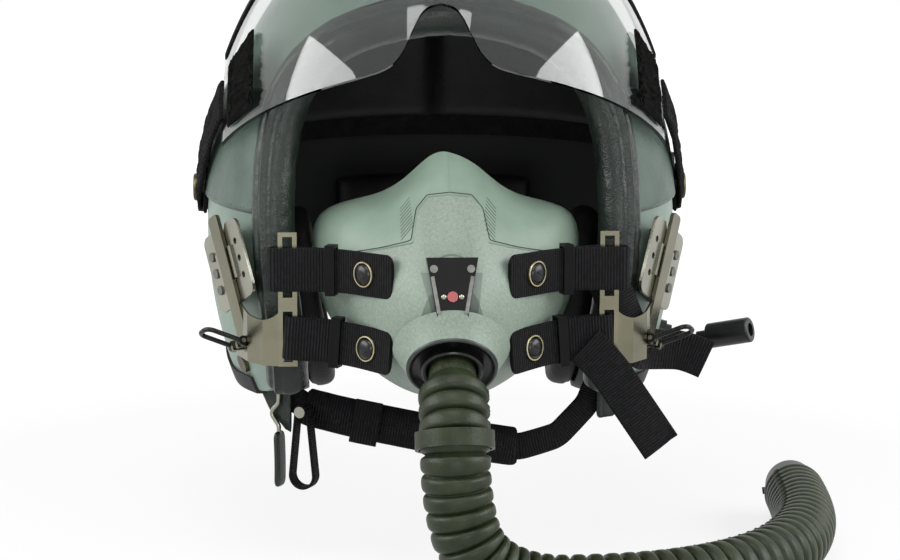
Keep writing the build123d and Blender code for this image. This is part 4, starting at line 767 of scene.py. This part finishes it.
# %% [markdown]
# ## Ear seals and the wedges behind the ear cups
# A soft ring closes each ear cup against the head. It is round in section, with a seam round its outside.
# A foam wedge fills the space between the cup's crown and the shell, and sets how hard the cup presses.

# %% A helper for pairs
def formed_pair(name, place, *settings, **options):
    """A piece at each side. What place(u, v, side) gives for the wearer's right is mirrored."""
    pieces = []
    for side, word in SIDES:
        def sided(u, v, side=side):
            x, y, z = place(u, v, side)
            return x * side, y, z
        pieces.append(formed(f"{name}_{word}", sided, *settings, **options))
    return pieces


# %% Ear seals
CUP = Vector((80, -6, -31))
CUP_LEAN = math.radians(9)
CUP_OUT = Vector((math.cos(CUP_LEAN), 0, -math.sin(CUP_LEAN)))
CUP_FORE = Vector((0, -1, 0))
CUP_DOWN = CUP_OUT.cross(CUP_FORE)


def seal_place(turn, round_section, side):
    angle, section = 2 * math.pi * turn, 2 * math.pi * round_section
    wide, deep = blunt(math.cos(section), 0.8) * 7.3, blunt(math.sin(section), 0.8) * 7.4
    seam = 0.5 * ridge(section - 0.55, 0.12)
    crease = wrinkle((math.cos(angle) * 9, math.sin(angle) * 9, section), 1.4, 0.25) * (deep < 0)
    wide, deep = wide * (1 - seam / 7), deep * (1 - seam / 7) + crease
    return (CUP + CUP_FORE * math.cos(angle) * (30.5 + wide) + CUP_DOWN * math.sin(angle) * (42.5 + wide)
            + CUP_OUT * (-7.9 + deep))


for seal in formed_pair("ear_seal", seal_place, 120, 40, liner_leather, "helmet", "ear_seals", "seal_leather",
                        ring=True, size=(0.25, 0.05)):
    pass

# %% Wedges
CUP_BACK, FURTHEST, WEDGE_STEP = 32.6, 60, 0.25


def wedge_place(turn, run, side):
    angle = 2 * math.pi * turn
    wide = min(1, run / 0.35, (1 - run) / 0.35)
    reach = wide - 0.08 * (run > 0.3) * rounded((run - 0.3) / 0.4) * (wide == 1)
    low = CUP + CUP_FORE * math.cos(angle) * 19.6 * reach + CUP_DOWN * math.sin(angle) * 23.5 * reach
    share = min(max((run - 0.35) / 0.3, 0), 1)
    # the far side goes out in small steps until it reaches the shell's wall
    far_step = CUP_BACK
    while far_step < FURTHEST:
        spot = low + CUP_OUT * far_step
        if abs(spot.x) > flank(spot.y, spot.z, -3.8):
            break
        far_step += WEDGE_STEP
    spot = low + CUP_OUT * (CUP_BACK + (far_step - WEDGE_STEP - CUP_BACK) * share)
    floor_height = float(np.interp(spot.y, *LOWER_EDGE)) + 7.8
    return spot.x, spot.y, max(spot.z, floor_height)


for wedge in formed_pair("ear_wedge", wedge_place, 64, 24, liner_foam, "helmet", "ear_cup_pads", "liner_foam",
                         size=(0.15, 0.08)):
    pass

# %% [markdown]
# ## The visor
# The visor is one sheet of clear plastic, 2.2 mm thick, bent round the face and about its hinge.
# Its lower edge rises over the nose in a smooth bell, which is drawn here as a curve of angles,
# because a cut-out made of straight lines and arcs looks sawn. The grid goes up the outside,
# over the top edge and down the inside, so that the sheet is one closed form and refracts as glass does.

# %% The visor's sheet
VISOR_RADIUS, VISOR_HALF_WIDTH, VISOR_WALL, VISOR_TOP = 168, 125.5, 2.2, 80
HINGE_Z = 30
LENS_ROWS = 30
LENS_ROUND = 2 * LENS_ROWS + 2
BELL_MIDDLE = -4.5
BELL = [(0, 38.6), (5, 38.3), (9.5, 37.0), (13, 34.4), (16.5, 31.4), (20, 29.0), (25, 27.3), (32, 26.5),
        (45, 26.0), (70, 25.6), (121, 25.5)]
bell, _ = smooth_line([(across, 0, angle) for across, angle in BELL], 300)


def lens_point(x, angle, out):
    """Place on the visor: across, at an angle about the hinge, and raised off the lens's outside."""
    wide, far = VISOR_HALF_WIDTH + VISOR_WALL + out, VISOR_RADIUS + VISOR_WALL + out
    radius = far * math.sqrt(1 - (x / wide) ** 2)
    angle = math.radians(angle)
    return Vector((x, -radius * math.cos(angle), HINGE_Z + radius * math.sin(angle)))


def lens_place(share, turn):
    x = -115.9 + 231.8 * share
    low = float(np.interp(abs(x - BELL_MIDDLE), bell[:, 0], bell[:, 2]))
    step = round(turn * LENS_ROUND) % LENS_ROUND
    outside = step <= LENS_ROWS
    rise = (step if outside else LENS_ROUND - 1 - step) / LENS_ROWS
    return lens_point(x, low + (VISOR_TOP - low) * rise, 0 if outside else -VISOR_WALL)


formed("clear_lens", lens_place, 260, LENS_ROUND, clear_visor, "visor", "visor_lens", "clear_visor",
       size=(0.232, 0.3))
print("visor: nose bell", round(2 * BELL[4][0]), "mm wide")

# %% [markdown]
# ## Hook-and-loop patches on the visor
# Two rough black patches on the visor's sides hold a cover when the visor is stowed.
# The pile is a pad on the lens whose surface is broken up by fine noise.

# %% Visor patches
def patch_place(share, turn, side):
    across, depth = pillow(turn, 0.4, 0.5)
    end = rounded_ends(share, 0.06)
    x, angle = 105.5 + 7.2 * across * (0.9 + 0.1 * end), 28.2 + 25.6 * share
    out = 0.4 + 2.6 * depth * end
    pile = 1.5 * noise.noise(Vector((x, angle * 2, 3)) * 1.1)
    pile += 0.9 * noise.noise(Vector((x, angle, side)) * 0.4)
    return lens_point(x, angle, out + pile * depth * end)


formed_pair("visor_patch", patch_place, 130, 56, rough_pile, "visor", "visor_patches", "hook_pile",
            size=(0.06, 0.03))

# %% [markdown]
# ## Cloth tabs of the visor
# A doubled cloth tab runs from each snap, on the hinge line, up to the visor's side edge.
# It is soft and creased lengthwise, so it is a flat band whose outer side is raised in folds.

# %% Visor tabs
TAB_ANGLE = math.radians(44)
TAB_WAY = Vector((0, -math.cos(TAB_ANGLE), math.sin(TAB_ANGLE)))
TAB_ACROSS = Vector((0, math.sin(TAB_ANGLE), math.cos(TAB_ANGLE)))
TAB_HALF, TAB_REACH = 13, 75.5
TAB_STANDS_OUT = ((0, 13, 57.5, 76), (129.9, 129.9, 121, 115))    # distance from the snap, and how far out
SNAP_RADIUS = 9.5


def tab_place(share, turn, side):
    reach = -TAB_HALF + (TAB_HALF + TAB_REACH) * share
    half = TAB_HALF if reach > 0 else math.sqrt(max(TAB_HALF ** 2 - reach ** 2, 0.4))
    across, out = outline(turn, 2 * half, 2.2)
    around = math.hypot(reach, across)
    x = float(np.interp(around, *TAB_STANDS_OUT)) + 1.1
    edge = rounded((half - abs(across)) / 3) * rounded((1 - share) / 0.05)
    if out > 0 and around > SNAP_RADIUS:
        fold = noise.fractal(Vector((reach / 19, across / 3.4, side * 5)), 0.7, 2.1, 3)
        out += edge * (0.5 + 1.1 * fold) * rounded((around - SNAP_RADIUS) / 8)
    return Vector((x + out, 0, HINGE_Z)) + TAB_WAY * reach + TAB_ACROSS * across


formed_pair("visor_tab", tab_place, 110, 90, tab_cloth, "visor", "visor_tabs", "dark_leather",
            size=(0.09, 0.052))

# %% [markdown]
# ## The strap round the back
# A ribbed elastic strap goes round the back of the shell from one snap to the other.

# %% Rear strap
REAR_FROM, REAR_ROUND = 84.5, 191


def rear_place(share, turn):
    across, out = outline(turn, 25.6, 1.9)
    angle = math.radians(REAR_FROM + REAR_ROUND * share)
    return round_shell(angle, HINGE_Z + across, 1.4 + out + 0.1 * math.sin(across * 2.4) * (out > 0.9))


formed("rear_strap", rear_place, 300, 72, elastic_web, "helmet", "visor_strap", "elastic_band",
       size=(0.42, 0.052))

# %% Pull tabs
PULL_OUT = Vector((0.9769, 0.1963, 0.0842))
PULL_WAY = Vector((-0.1970, 0.9804, 0))
PULL_SEAT = Vector((125.3, 34, HINGE_Z)) + PULL_OUT * 3.9


def pull_tab_place(share, turn, side):
    across, through = outline(turn, 19.6 * (1 - 0.2 * rounded(1 - (1 - share) / 0.2)), 1.5)
    curl = 3.5 * max(0, share - 0.5) ** 2
    return (PULL_SEAT + PULL_WAY * (-6.3 + 25.6 * share) + PULL_OUT.cross(PULL_WAY) * across
            + PULL_OUT * (0.85 + curl + through))


formed_pair("pull_tab", pull_tab_place, 30, 44, pull_leather, "helmet", "pull_tabs", "grey_leather",
            size=(0.026, 0.04))

# %% [markdown]
# ## Webbing straps
# Nylon webbing is flat, about 22 mm wide and 2 mm thick, with fine ribs woven across it.
# Each strap runs from the mask out through the bayonet's loop and back on itself.
# A ribbon formed along a smooth line and given a thickness shows its folds and rounded turns.

# %% Strap helper
BAND_CORNER = 4


def ribbon(name, points, width, thick, *settings, tilt=0):
    """Flat band along a line in millimetres with its width upright, leaned by tilt, and round corners."""
    line, length = smooth_line(points, 150)
    up = Matrix.Rotation(math.radians(tilt), 3, "Y") @ Vector((0, 0, 1))

    def place(share, turn):
        spot, ahead = along_line(line, share)
        corner = max(0, BAND_CORNER - min(share, 1 - share) * length)
        narrower = 2 * (BAND_CORNER - math.sqrt(BAND_CORNER ** 2 - corner ** 2))
        across, out = outline(turn, width - narrower, thick)
        return spot + up * across + ahead.cross(up).normalized() * out
    return formed(name, place, 149, 48, *settings, size=(length * MM, 2 * width * MM))


# %% Mask straps
UPPER = [(28.5, -157), (34, -153), (53, -133.6), (64, -130.6), (84, -129.8), (89.6, -129.2), (90.2, -124),
         (87, -122.1), (75, -122.2), (66, -127.0), (57, -130.2)]
LOWER = [(29.5, -156.3), (34, -150.5), (50, -134), (62, -130.2), (76, -129.4), (82, -128.8), (82.2, -123.2),
         (79.5, -122.1), (74, -122.0), (64, -126.4), (56, -129.6)]
WEBBING_WIDTH, WEBBING_THICK, LOWER_TILT = 22, 2, -4
for side, word in SIDES:
    upper = [(x * side, y, 3.5) for x, y in UPPER]
    lower = [(x * side, y, -31.5 - (x - 76) * math.tan(math.radians(LOWER_TILT))) for x, y in LOWER]
    for which, points, tilt in (("upper", upper, 0), ("lower", lower, LOWER_TILT * side)):
        ribbon(f"{which}_strap_{word}", points, WEBBING_WIDTH, WEBBING_THICK, black_webbing, "mask",
               f"{which}_straps", "black_webbing", tilt=tilt)

# %% [markdown]
# ## Loose strap ends
# On the wearer's left two free ends of webbing hang down and outwards.
# Seen from above each one follows one line, and seen from the front it follows another.

# %% Helper for bands drawn in two views
def two_view_band(name, plan, fall, width, thick, *settings):
    """Band whose front view follows fall (x, z) and whose plan view follows plan (x, y)."""
    front, length = smooth_line([(x, 0, z) for x, z in fall], 140)
    above, _ = smooth_line([(x, y, 0) for x, y in plan], 400)

    def depth(x):
        return float(np.interp(x, above[:, 0], above[:, 1]))

    def place(share, turn):
        spot, ahead = along_line(front, share)
        across, out = outline(turn, width, thick)
        point = spot + Vector((-ahead.z, 0, ahead.x)) * across
        forward = Vector((depth(point.x + 1) - depth(point.x - 1), -2, 0)).normalized()
        return Vector((point.x, depth(point.x), point.z)) + forward * out
    return formed(name, place, 139, 48, *settings, size=(length * MM, 2 * width * MM))


# %% Strap ends
UPPER_TAIL = [(79, -119.6), (88, -117.5), (98.4, -107), (102, -97), (107.5, -88), (116, -81), (126, -78),
              (134, -79)]
UPPER_FALL = [(77, 2), (83, -9), (90, -27), (98, -41), (107, -45.5), (116, -47), (126, -48), (137, -53)]
LOWER_TAIL = [(64, -132.7), (74, -132.4), (90, -130.5), (104, -127), (112, -123)]
LOWER_FALL = [(68, -35), (78, -44), (90, -62), (108, -89)]
for name, plan, fall in (("upper_strap_end", UPPER_TAIL, UPPER_FALL),
                         ("lower_strap_end", LOWER_TAIL, LOWER_FALL)):
    two_view_band(name, plan, fall, 20.8, 1.5, black_webbing, "mask", "strap_tails", "black_webbing")

# %% [markdown]
# ## Strap buttons
# Each strap is held to the mask by a black slotted dome inside a thin pale ring.
# Round metalwork is turned: a half outline goes round an axis with the spin operator.

# %% Turning round pieces
def turned(name, turns, coat, body, node=None, slot=None, steps=48):
    """Round pieces in one object, each from (outline of radius and height, centre, axis) in millimetres."""
    bm = bmesh.new()
    for half, centre, axis in turns:
        made = [bm.verts.new((radius, 0, height)) for radius, height in half]
        edges = [bm.edges.new(pair) for pair in zip(made, made[1:])]
        done = set(bm.verts) - set(made)
        bmesh.ops.spin(bm, geom=made + edges, cent=(0, 0, 0), axis=(0, 0, 1), dvec=(0, 0, 0),
                       angle=2 * math.pi, steps=steps, use_merge=True)
        stand = Vector(axis).to_track_quat("Z", "Y").to_matrix().to_4x4()
        move = Matrix.Translation(Vector(centre) * MM) @ stand @ Matrix.Scale(MM, 4)
        bmesh.ops.transform(bm, matrix=move, verts=[vert for vert in bm.verts if vert not in done])
    bmesh.ops.remove_doubles(bm, verts=bm.verts, dist=0.000002)
    bmesh.ops.recalc_face_normals(bm, faces=bm.faces)
    return tied(object_from(bm, name, coat, sharp=40), body, node)


# %% Domes and rings
BUTTONS = [((42.63, -145.54, 3.5), (0.715, -0.699, 0)), ((41.53, -144.24, -33.94), (0.713, -0.699, 0.05))]
seats = [(Vector((x * side, y, z)), Vector((a * side, b, c)).normalized())
         for side, _ in SIDES for (x, y, z), (a, b, c) in BUTTONS]
dome_half = [(0, 0), (5.2, 0), (5.3, 0.7), (5.05, 1.3), (4.3, 2.0), (3.2, 2.5), (1.7, 2.8), (0, 2.9)]
ring_half = [(5.45, 0), (6.5, 0), (6.6, 0.5), (6.35, 1.0), (5.75, 1.05), (5.45, 0.6), (5.45, 0)]
turned("strap_button_domes", [(dome_half, seat, way) for seat, way in seats], black_plastic, "mask",
       "strap_domes", "black_plastic")
turned("strap_button_rings", [(ring_half, seat, way) for seat, way in seats], snap_brass, "mask",
       "strap_rings", "snap_brass")

# %% Slots across the domes
SLOT_SIZE, SLOT_HEIGHT, SLOT_BEVEL = (5.4, 0.8, 0.5), 2.8, 0.12
bm = bmesh.new()
for seat, way in seats:
    across = way.cross(Vector((0, 0, 1))).normalized()
    slot_way = (across * 0.85 - way.cross(across) * 0.5).normalized()
    turn = Matrix((slot_way, way.cross(slot_way), way)).transposed().to_4x4()
    move = Matrix.Translation((seat + way * SLOT_HEIGHT) * MM)
    shape = Matrix.Diagonal((*SLOT_SIZE, 1)) @ Matrix.Scale(MM, 4)
    made = bmesh.ops.create_cube(bm, size=1, matrix=move @ turn @ shape)["verts"]
    edges = {edge for vert in made for edge in vert.link_edges}
    bmesh.ops.bevel(bm, geom=list(edges), offset=SLOT_BEVEL * MM, affect="EDGES", segments=2, profile=0.5,
                    material=-1)
tied(object_from(bm, "strap_button_slots", black_steel, smooth=False), "mask")

# %% [markdown]
# ## Moulding details of the mask
# A moulded mask shows where its mould halves met, as a fine line down the nose, and has grip ribs
# beside the nose. The hard shell lies in the rubber with a fine dark joint round its upper edge.
# A ray from the camera, or from in front, finds the surface, so that each line lies exactly on it.

# %% Finding the mask's surface
def surface_of(*names):
    """Tree of a few hard parts' triangles, for rays."""
    bm = bmesh.new()
    for name in names:
        bm.from_mesh(nodes[name].data)
    tree = BVHTree.FromBMesh(bm)
    bm.free()
    return tree


rubber_skin = surface_of("mask_facepiece")
mask_skin = surface_of("mask_facepiece", "mask_hardshell")
hard_skin = surface_of("mask_hardshell")


def at_pixel(skin, u, v):
    """Place in millimetres where the camera's picture shows a skin."""
    ray = Vector(((u - PICTURE_WIDTH / 2) / PICTURE_WIDTH + lens.shift_x,
                  (PICTURE_HEIGHT / 2 - v) / PICTURE_WIDTH + lens.shift_y, -lens.lens / lens.sensor_width))
    spot, _, _, _ = skin.ray_cast(eye, camera.rotation_euler.to_matrix() @ ray)
    return spot / MM


def ahead_of(skin, x, z):
    """Place in millimetres on a skin, straight behind a place in front view."""
    spot, _, _, _ = skin.ray_cast(Vector((x, -250, z)) * MM, Vector((0, 1, 0)))
    return spot / MM


# %% Mould line, grip ribs and joint
NOSE_MIDDLE, RIBS_A_SIDE = 448, 10
mould = [ahead_of(mask_skin, 0, z) + Vector((0, 0.1, 0)) for z in np.linspace(59.5, 42.5, 12)]
tube("mould_line", [mould], 0.35, mask_rubber, "mask")
ribs = []
for way in (-1, 1):
    for step in range(RIBS_A_SIDE):
        low = np.array((NOSE_MIDDLE + way * (48 - 0.1 * step), 209 + 3.5 * step))
        high = (NOSE_MIDDLE + way * (38.5 - 0.5 * step + (0.09 * step) ** 2), 197.5 + 3.1 * step)
        ribs.append([at_pixel(rubber_skin, *(low + (high - low) * part)) for part in np.linspace(0, 1, 5)])
rib_shade = finish("rib_shade", (76, 90, 79), (86, 100, 88), (0.5, 0.6), 90, gloss=0.3)
tube("grip_ribs", ribs, 0.24, rib_shade, "mask")
HARD_EDGE = [(58.1, 3.6), (50.6, 11.1), (34, 15.6), (19.4, 20.4), (16.6, 34.9), (11.0, 41.5), (0, 42.9)]
edge = HARD_EDGE + [(-x, z) for x, z in HARD_EDGE[-2::-1]]
even, _ = smooth_line([(x, 0, z) for x, z in edge], 90, 2)
joint = [ahead_of(rubber_skin, float(x), float(z)) for x, _, z in even]
joint_shade = finish("joint_shade", (36, 43, 38), (46, 54, 48), (0.6, 0.7), 90, gloss=0.2)
tube("joint_line", [joint], 0.28, joint_shade, "mask")
print("grip ribs:", len(ribs))

# %% [markdown]
# ## The pocket round the valve cover
# The black cover sits in a shallow pocket of the hard shell, whose smooth floor is painted a little darker,
# as painted shade of the pocket.
# The pocket's floor is a thin frame that follows the shell and leaves the exhale bore behind the cover free.

# %% Pocket
# painted shade: a darker copy of the mask's composite stands for the shade round the cover
recess_painted_shade = finish("recess_painted_shade", (84, 96, 86), (96, 109, 98), (0.36, 0.46), 120, [("noise", 900, 0.04)],
                      gloss=0.4)
POCKET = [(420.5, 272.5), (483, 272.5), (478, 317), (433, 317)]
BORE_Z, BORE_REACH = 5.6, 9.8
FLAP_WAY = Vector((0, -0.978, 0.208))
corners = [at_pixel(hard_skin, *corner) for corner in POCKET]


def pocket_reach(way_x, way_z):
    """Distance in front view from the exhale bore's middle to the pocket's edge, one way."""
    reaches = []
    for here, there in zip(corners, corners[1:] + corners[:1]):
        run, rise = there.x - here.x, there.z - here.z
        cross = way_x * rise - way_z * run
        reach = (here.x * rise - (here.z - BORE_Z) * run) / cross if abs(cross) > 1e-9 else 0
        if reach > 0:
            reaches.append(reach)
    return max(min(reaches), BORE_REACH + 0.8)


def pocket_place(share, turn):
    angle = 2 * math.pi * (share + 0.25)
    way_x, way_z = math.cos(angle), math.sin(angle)
    outer = pocket_reach(way_x, way_z)
    across, out = outline(turn, outer - BORE_REACH, 0.3)
    reach = (outer + BORE_REACH) / 2 + across
    return ahead_of(hard_skin, way_x * reach, BORE_Z + way_z * reach) + FLAP_WAY * (0.15 + out)


formed("cover_pocket", pocket_place, 240, 48, recess_painted_shade, "mask")

# %% Contacts beside the test button
contact_half = [(0, 0), (1.25, 0), (1.2, 0.45), (0.8, 0.8), (0, 0.95)]
turned("test_contacts", [(contact_half, (x, -176.3, -3.0), FLAP_WAY) for x in (-4.3, 4.3)], bright_steel,
       "mask", steps=24)

# %% [markdown]
# ## The hose inlet
# The hard shell swells into a collar round a thin dark rim with a black dish in it, and the hose's narrow
# neck goes into the socket in the dish's middle. All of them are turned about the inlet's axis, which
# points 40 degrees down from straight ahead.

# %% Collar, rim, dish and neck
INLET = Vector((0, -165, -36))
INLET_TILT = math.radians(40)
INLET_WAY = Vector((0, -math.cos(INLET_TILT), -math.sin(INLET_TILT)))
rim_half = [(20.6, 2.6), (20.6, 5.5), (20.9, 6.0), (21.6, 6.2), (22.3, 5.8), (22.5, 4.9), (22.5, 2.6),
            (20.6, 2.6)]
collar_half = [(21.8, 5.0), (22.5, 4.8), (23.1, 3.4), (23.9, 1.2), (25.2, -1.6), (27.0, -4.6), (28.8, -7.4),
               (21.8, -7.4), (21.8, 5.0)]
dish_half = [(20.5, 5.2), (19.9, 4.4), (19.0, 3.4), (17.9, 3.1), (15.6, 3.05), (15.6, 2.7), (20.5, 2.7),
             (20.5, 5.2)]
boot_half = [(15.5, 6.6), (15.2, 7.6), (14.3, 8.3), (13.2, 8.2), (12.2, 7.2), (11.6, 5.6), (11.6, 3.0),
             (15.5, 3.0), (15.5, 6.6)]
neck_half = [(0, 2), (11.4, 2), (11.4, 9.9), (0, 9.9)]
for name, half, coat, *stands_for in (
        ("inlet_rim", rim_half, rim_paint, "inlet_ring", "mask_composite"),
        ("inlet_collar", collar_half, mask_composite),
        ("inlet_dish", dish_half, black_plastic),
        ("inlet_boot", boot_half, black_plastic),
        ("hose_neck", neck_half, hose_rubber, "hose_collar", "hose_green")):
    turned(name, [(half, INLET, INLET_WAY)], coat, "mask", *stands_for, steps=96)

# %% [markdown]
# ## Chin strap, its sleeve and the ear tabs
# A narrow strap goes under the chin from ear flap to ear flap.
# A padded sleeve with a small flap covers its middle, and a leather tab covers each of its ends.

# %% Chin strap
# seen from above: across and depth. Seen from the front: across and height
CHIN_PLAN = np.array([(-101.6, -50.3), (-77.5, -62.2), (-50.8, -74), (0, -82.9), (44.4, -78.4), (71.1, -65.1),
                      (101.6, -44.4)]).T
CHIN_FRONT = np.array([(-91.4, -59.5), (-83.8, -73.5), (-72.4, -79.6), (38.1, -98.9), (59.7, -94.5),
                       (76.2, -79.6), (85.1, -59.5)]).T
CHIN_WIDTH, FLAP_WIDTH = 14.4, 23.6
CHIN_STEPS = np.concatenate([[0], np.cumsum(np.hypot(*np.diff(CHIN_FRONT)))])


def chin_y(x):
    """Depth of the chin strap's middle at a place across, rounded a little at its corners."""
    near = [float(np.interp(x + step, *CHIN_PLAN)) for step in range(-9, 10, 3)]
    return sum(near) / len(near) + 0.25


def chin_ahead(x):
    """Direction straight ahead out of the chin strap's face at a place across."""
    slope = (chin_y(x + 1) - chin_y(x - 1)) / 2
    return Vector((slope, -1, 0)).normalized()


def chin_line(where):
    """Place on the front view's line at a share of its length."""
    where = min(max(where, 0), 1) * CHIN_STEPS[-1]
    x, z = (float(np.interp(where, CHIN_STEPS, row)) for row in CHIN_FRONT)
    return Vector((x, 0, z))


def chin_place(share, rise, width, forward):
    """Place on a band that follows the chin strap, from right to left."""
    window = [chin_line(share + step * 0.004) for step in range(-4, 5)]
    spot = sum(window, Vector()) / len(window)
    ahead = (chin_line(share + 0.02) - chin_line(share - 0.02)).normalized()
    point = spot + Vector((-ahead.z, 0, ahead.x)) * (rise - 0.5) * width
    return Vector((point.x, chin_y(point.x), point.z)) + chin_ahead(point.x) * forward


def chin_band_place(share, turn):
    across, out = outline(turn, CHIN_WIDTH, 2.3)
    point = chin_place(share, 0.5 + across / CHIN_WIDTH, CHIN_WIDTH, out)
    # the strap's ends are drawn in from the shell's wall
    limit = flank(point.y, point.z, -3.8)
    point.x = max(-limit, min(limit, point.x))
    return point


formed("chin_webbing", chin_band_place, 160, 40, black_webbing, "helmet", "chin_strap", "black_webbing",
       size=(0.22, 0.029))


# %% Sleeve and flap
def sleeve_place(share, turn):
    across, depth = pillow(turn, 0.55, 0.9)
    end = 0.86 + 0.14 * rounded_ends(share, 0.03)
    channel = 0.35 * ridge(abs(across) - 0.78, 0.06)
    forward = (2 * depth - 1) * (3.0 - channel) * end + wrinkle((share * 120, across * 9, depth * 5), 9, 0.22)
    return chin_place(0.128 + 0.549 * share, 0.5 + 0.5 * across * end, 20.6, forward)


sleeve = formed("chin_sleeve", sleeve_place, 150, 44, black_webbing, "helmet", "chin_pad", "black_webbing",
                size=(0.118, 0.05))


def flap_place(share, turn):
    across, out = outline(turn, FLAP_WIDTH, 1.5)
    return chin_place(0.262 + 0.066 * share, 0.5 + across / FLAP_WIDTH, FLAP_WIDTH, 4.3 + out)


formed("chin_flap", flap_place, 24, 56, black_webbing, "helmet", "chin_pad", "black_webbing",
       size=(0.014, 0.048))


# %% Ear tabs
EAR_TAB_TOP, EAR_TAB_INNER = -40.5, 79.6
for side, word, low in ((1, "left", -87.5), (-1, "right", -95)):
    def ear_tab_place(share, turn, side=side, low=low):
        z = EAR_TAB_TOP + (low - EAR_TAB_TOP) * share
        outer = min(102 - 6 * share, flank(chin_y(side * 95), z, -5.6))
        width = (outer - EAR_TAB_INNER) * (0.72 + 0.28 * rounded((1 - share) / 0.12))
        across, out = outline(turn, width, 2.3 * (0.6 + 0.4 * rounded((1 - share) * 22)))
        edge = width / 2 - abs(across)
        seam = 0.22 * ridge(edge - 2.6, 0.8) * (-1 if out > 0 else 0)
        out += seam + wrinkle((across, z, side * 7), 8, 0.15)
        x = (EAR_TAB_INNER + outer) / 2 + across
        if side < 0:
            # the lower edge keeps clear of the pull that swings beside it
            near_pull = math.exp(-((x - 84.3) / 4.5) ** 4)
            z += 3 * near_pull * rounded((-87 - z) / 8)
            out -= 0.7 * near_pull * rounded((-89 - z) / 2.5) * (out > 0)
        return Vector((side * x, chin_y(side * x), z)) + chin_ahead(side * x) * (2.8 + out)
    formed(f"ear_leather_{word}", ear_tab_place, 60, 60, dark_leather, "helmet", "ear_tabs", "dark_leather",
           size=(0.05, 0.044))

# %% [markdown]
# ## Things that hang at the right
# A bent wire hook carries a small leather pull, and a loop of narrow webbing hangs beside it.

# %% Leather pull
HOOK = Vector((-86.74, -62.01, -65.99))
HOOK_OUT = Vector((-0.4405, -0.8978, 0)).normalized()
HOOK_LEFT = Vector((0.8978, -0.4405, 0)).normalized()
UP = Vector((0, 0, 1))


def pull_place(share, turn):
    across, depth = pillow(turn, 0.45, 0.5)
    end = rounded_ends(share, 0.14)
    seam = 0.25 * ridge(abs(across) - 0.72, 0.09)
    wide = 4.8 * across * (0.55 + 0.45 * end)
    thick = (depth - 0.5) * 2 * (1.45 - seam) * (0.35 + 0.65 * end)
    drop = -26.8 - 29.6 * share
    return HOOK + HOOK_OUT * (1.71 + wide) + HOOK_LEFT * (thick + 0.5 * math.sin(share * 2.6)) + UP * drop


pull = formed("hook_leather", pull_place, 60, 40, dark_leather, "hook", "hook_pull", "dark_leather",
              size=(0.03, 0.026))

# %% Webbing loop
LOOP = Vector((-72.28, -67.91, -79.99))
LOOP_OUT = Vector((-0.4058, -0.914, 0)).normalized()
LOOP_LEFT = Vector((0.914, -0.4058, 0)).normalized()


def loop_middle(share):
    """Round the loop's middle line: small circle above, larger circle below, straight sides."""
    top, low, drop = 3.15, 6.65, 34
    lean = math.asin((low - top) / drop)
    upper, lower = top * (math.pi - 2 * lean), low * (math.pi + 2 * lean)
    run = math.sqrt(drop ** 2 - (low - top) ** 2)
    at = share % 1 * (upper + lower + 2 * run)
    if at < upper:
        angle = lean + at / top
        x, z = top * math.cos(angle), top * math.sin(angle)
    elif at < upper + run:
        part = (at - upper) / run
        x = -math.cos(lean) * (top + (low - top) * part)
        z = math.sin(lean) * (top + (low - top) * part) - drop * part
    elif at < upper + run + lower:
        angle = math.pi - lean + (at - upper - run) / low
        x, z = low * math.cos(angle), low * math.sin(angle) - drop
    else:
        part = 1 - (at - upper - run - lower) / run
        x = math.cos(lean) * (top + (low - top) * part)
        z = math.sin(lean) * (top + (low - top) * part) - drop * part
    return x, z


def loop_band_place(share, turn):
    x, z = loop_middle(share)
    before, after = Vector(loop_middle(share - 0.004)), Vector(loop_middle(share + 0.004))
    ahead = (after - before).normalized()
    across, out = outline(turn, 7.8, 1.6)
    return (LOOP + LOOP_LEFT * (x + ahead.y * out) + UP * (z - 0.5 - ahead.x * out)
            + LOOP_OUT * (4.6 + across))


formed("hanging_loop", loop_band_place, 160, 24, black_webbing, "loop", "webbing_loop", "black_webbing",
       ring=True, size=(0.1, 0.016))
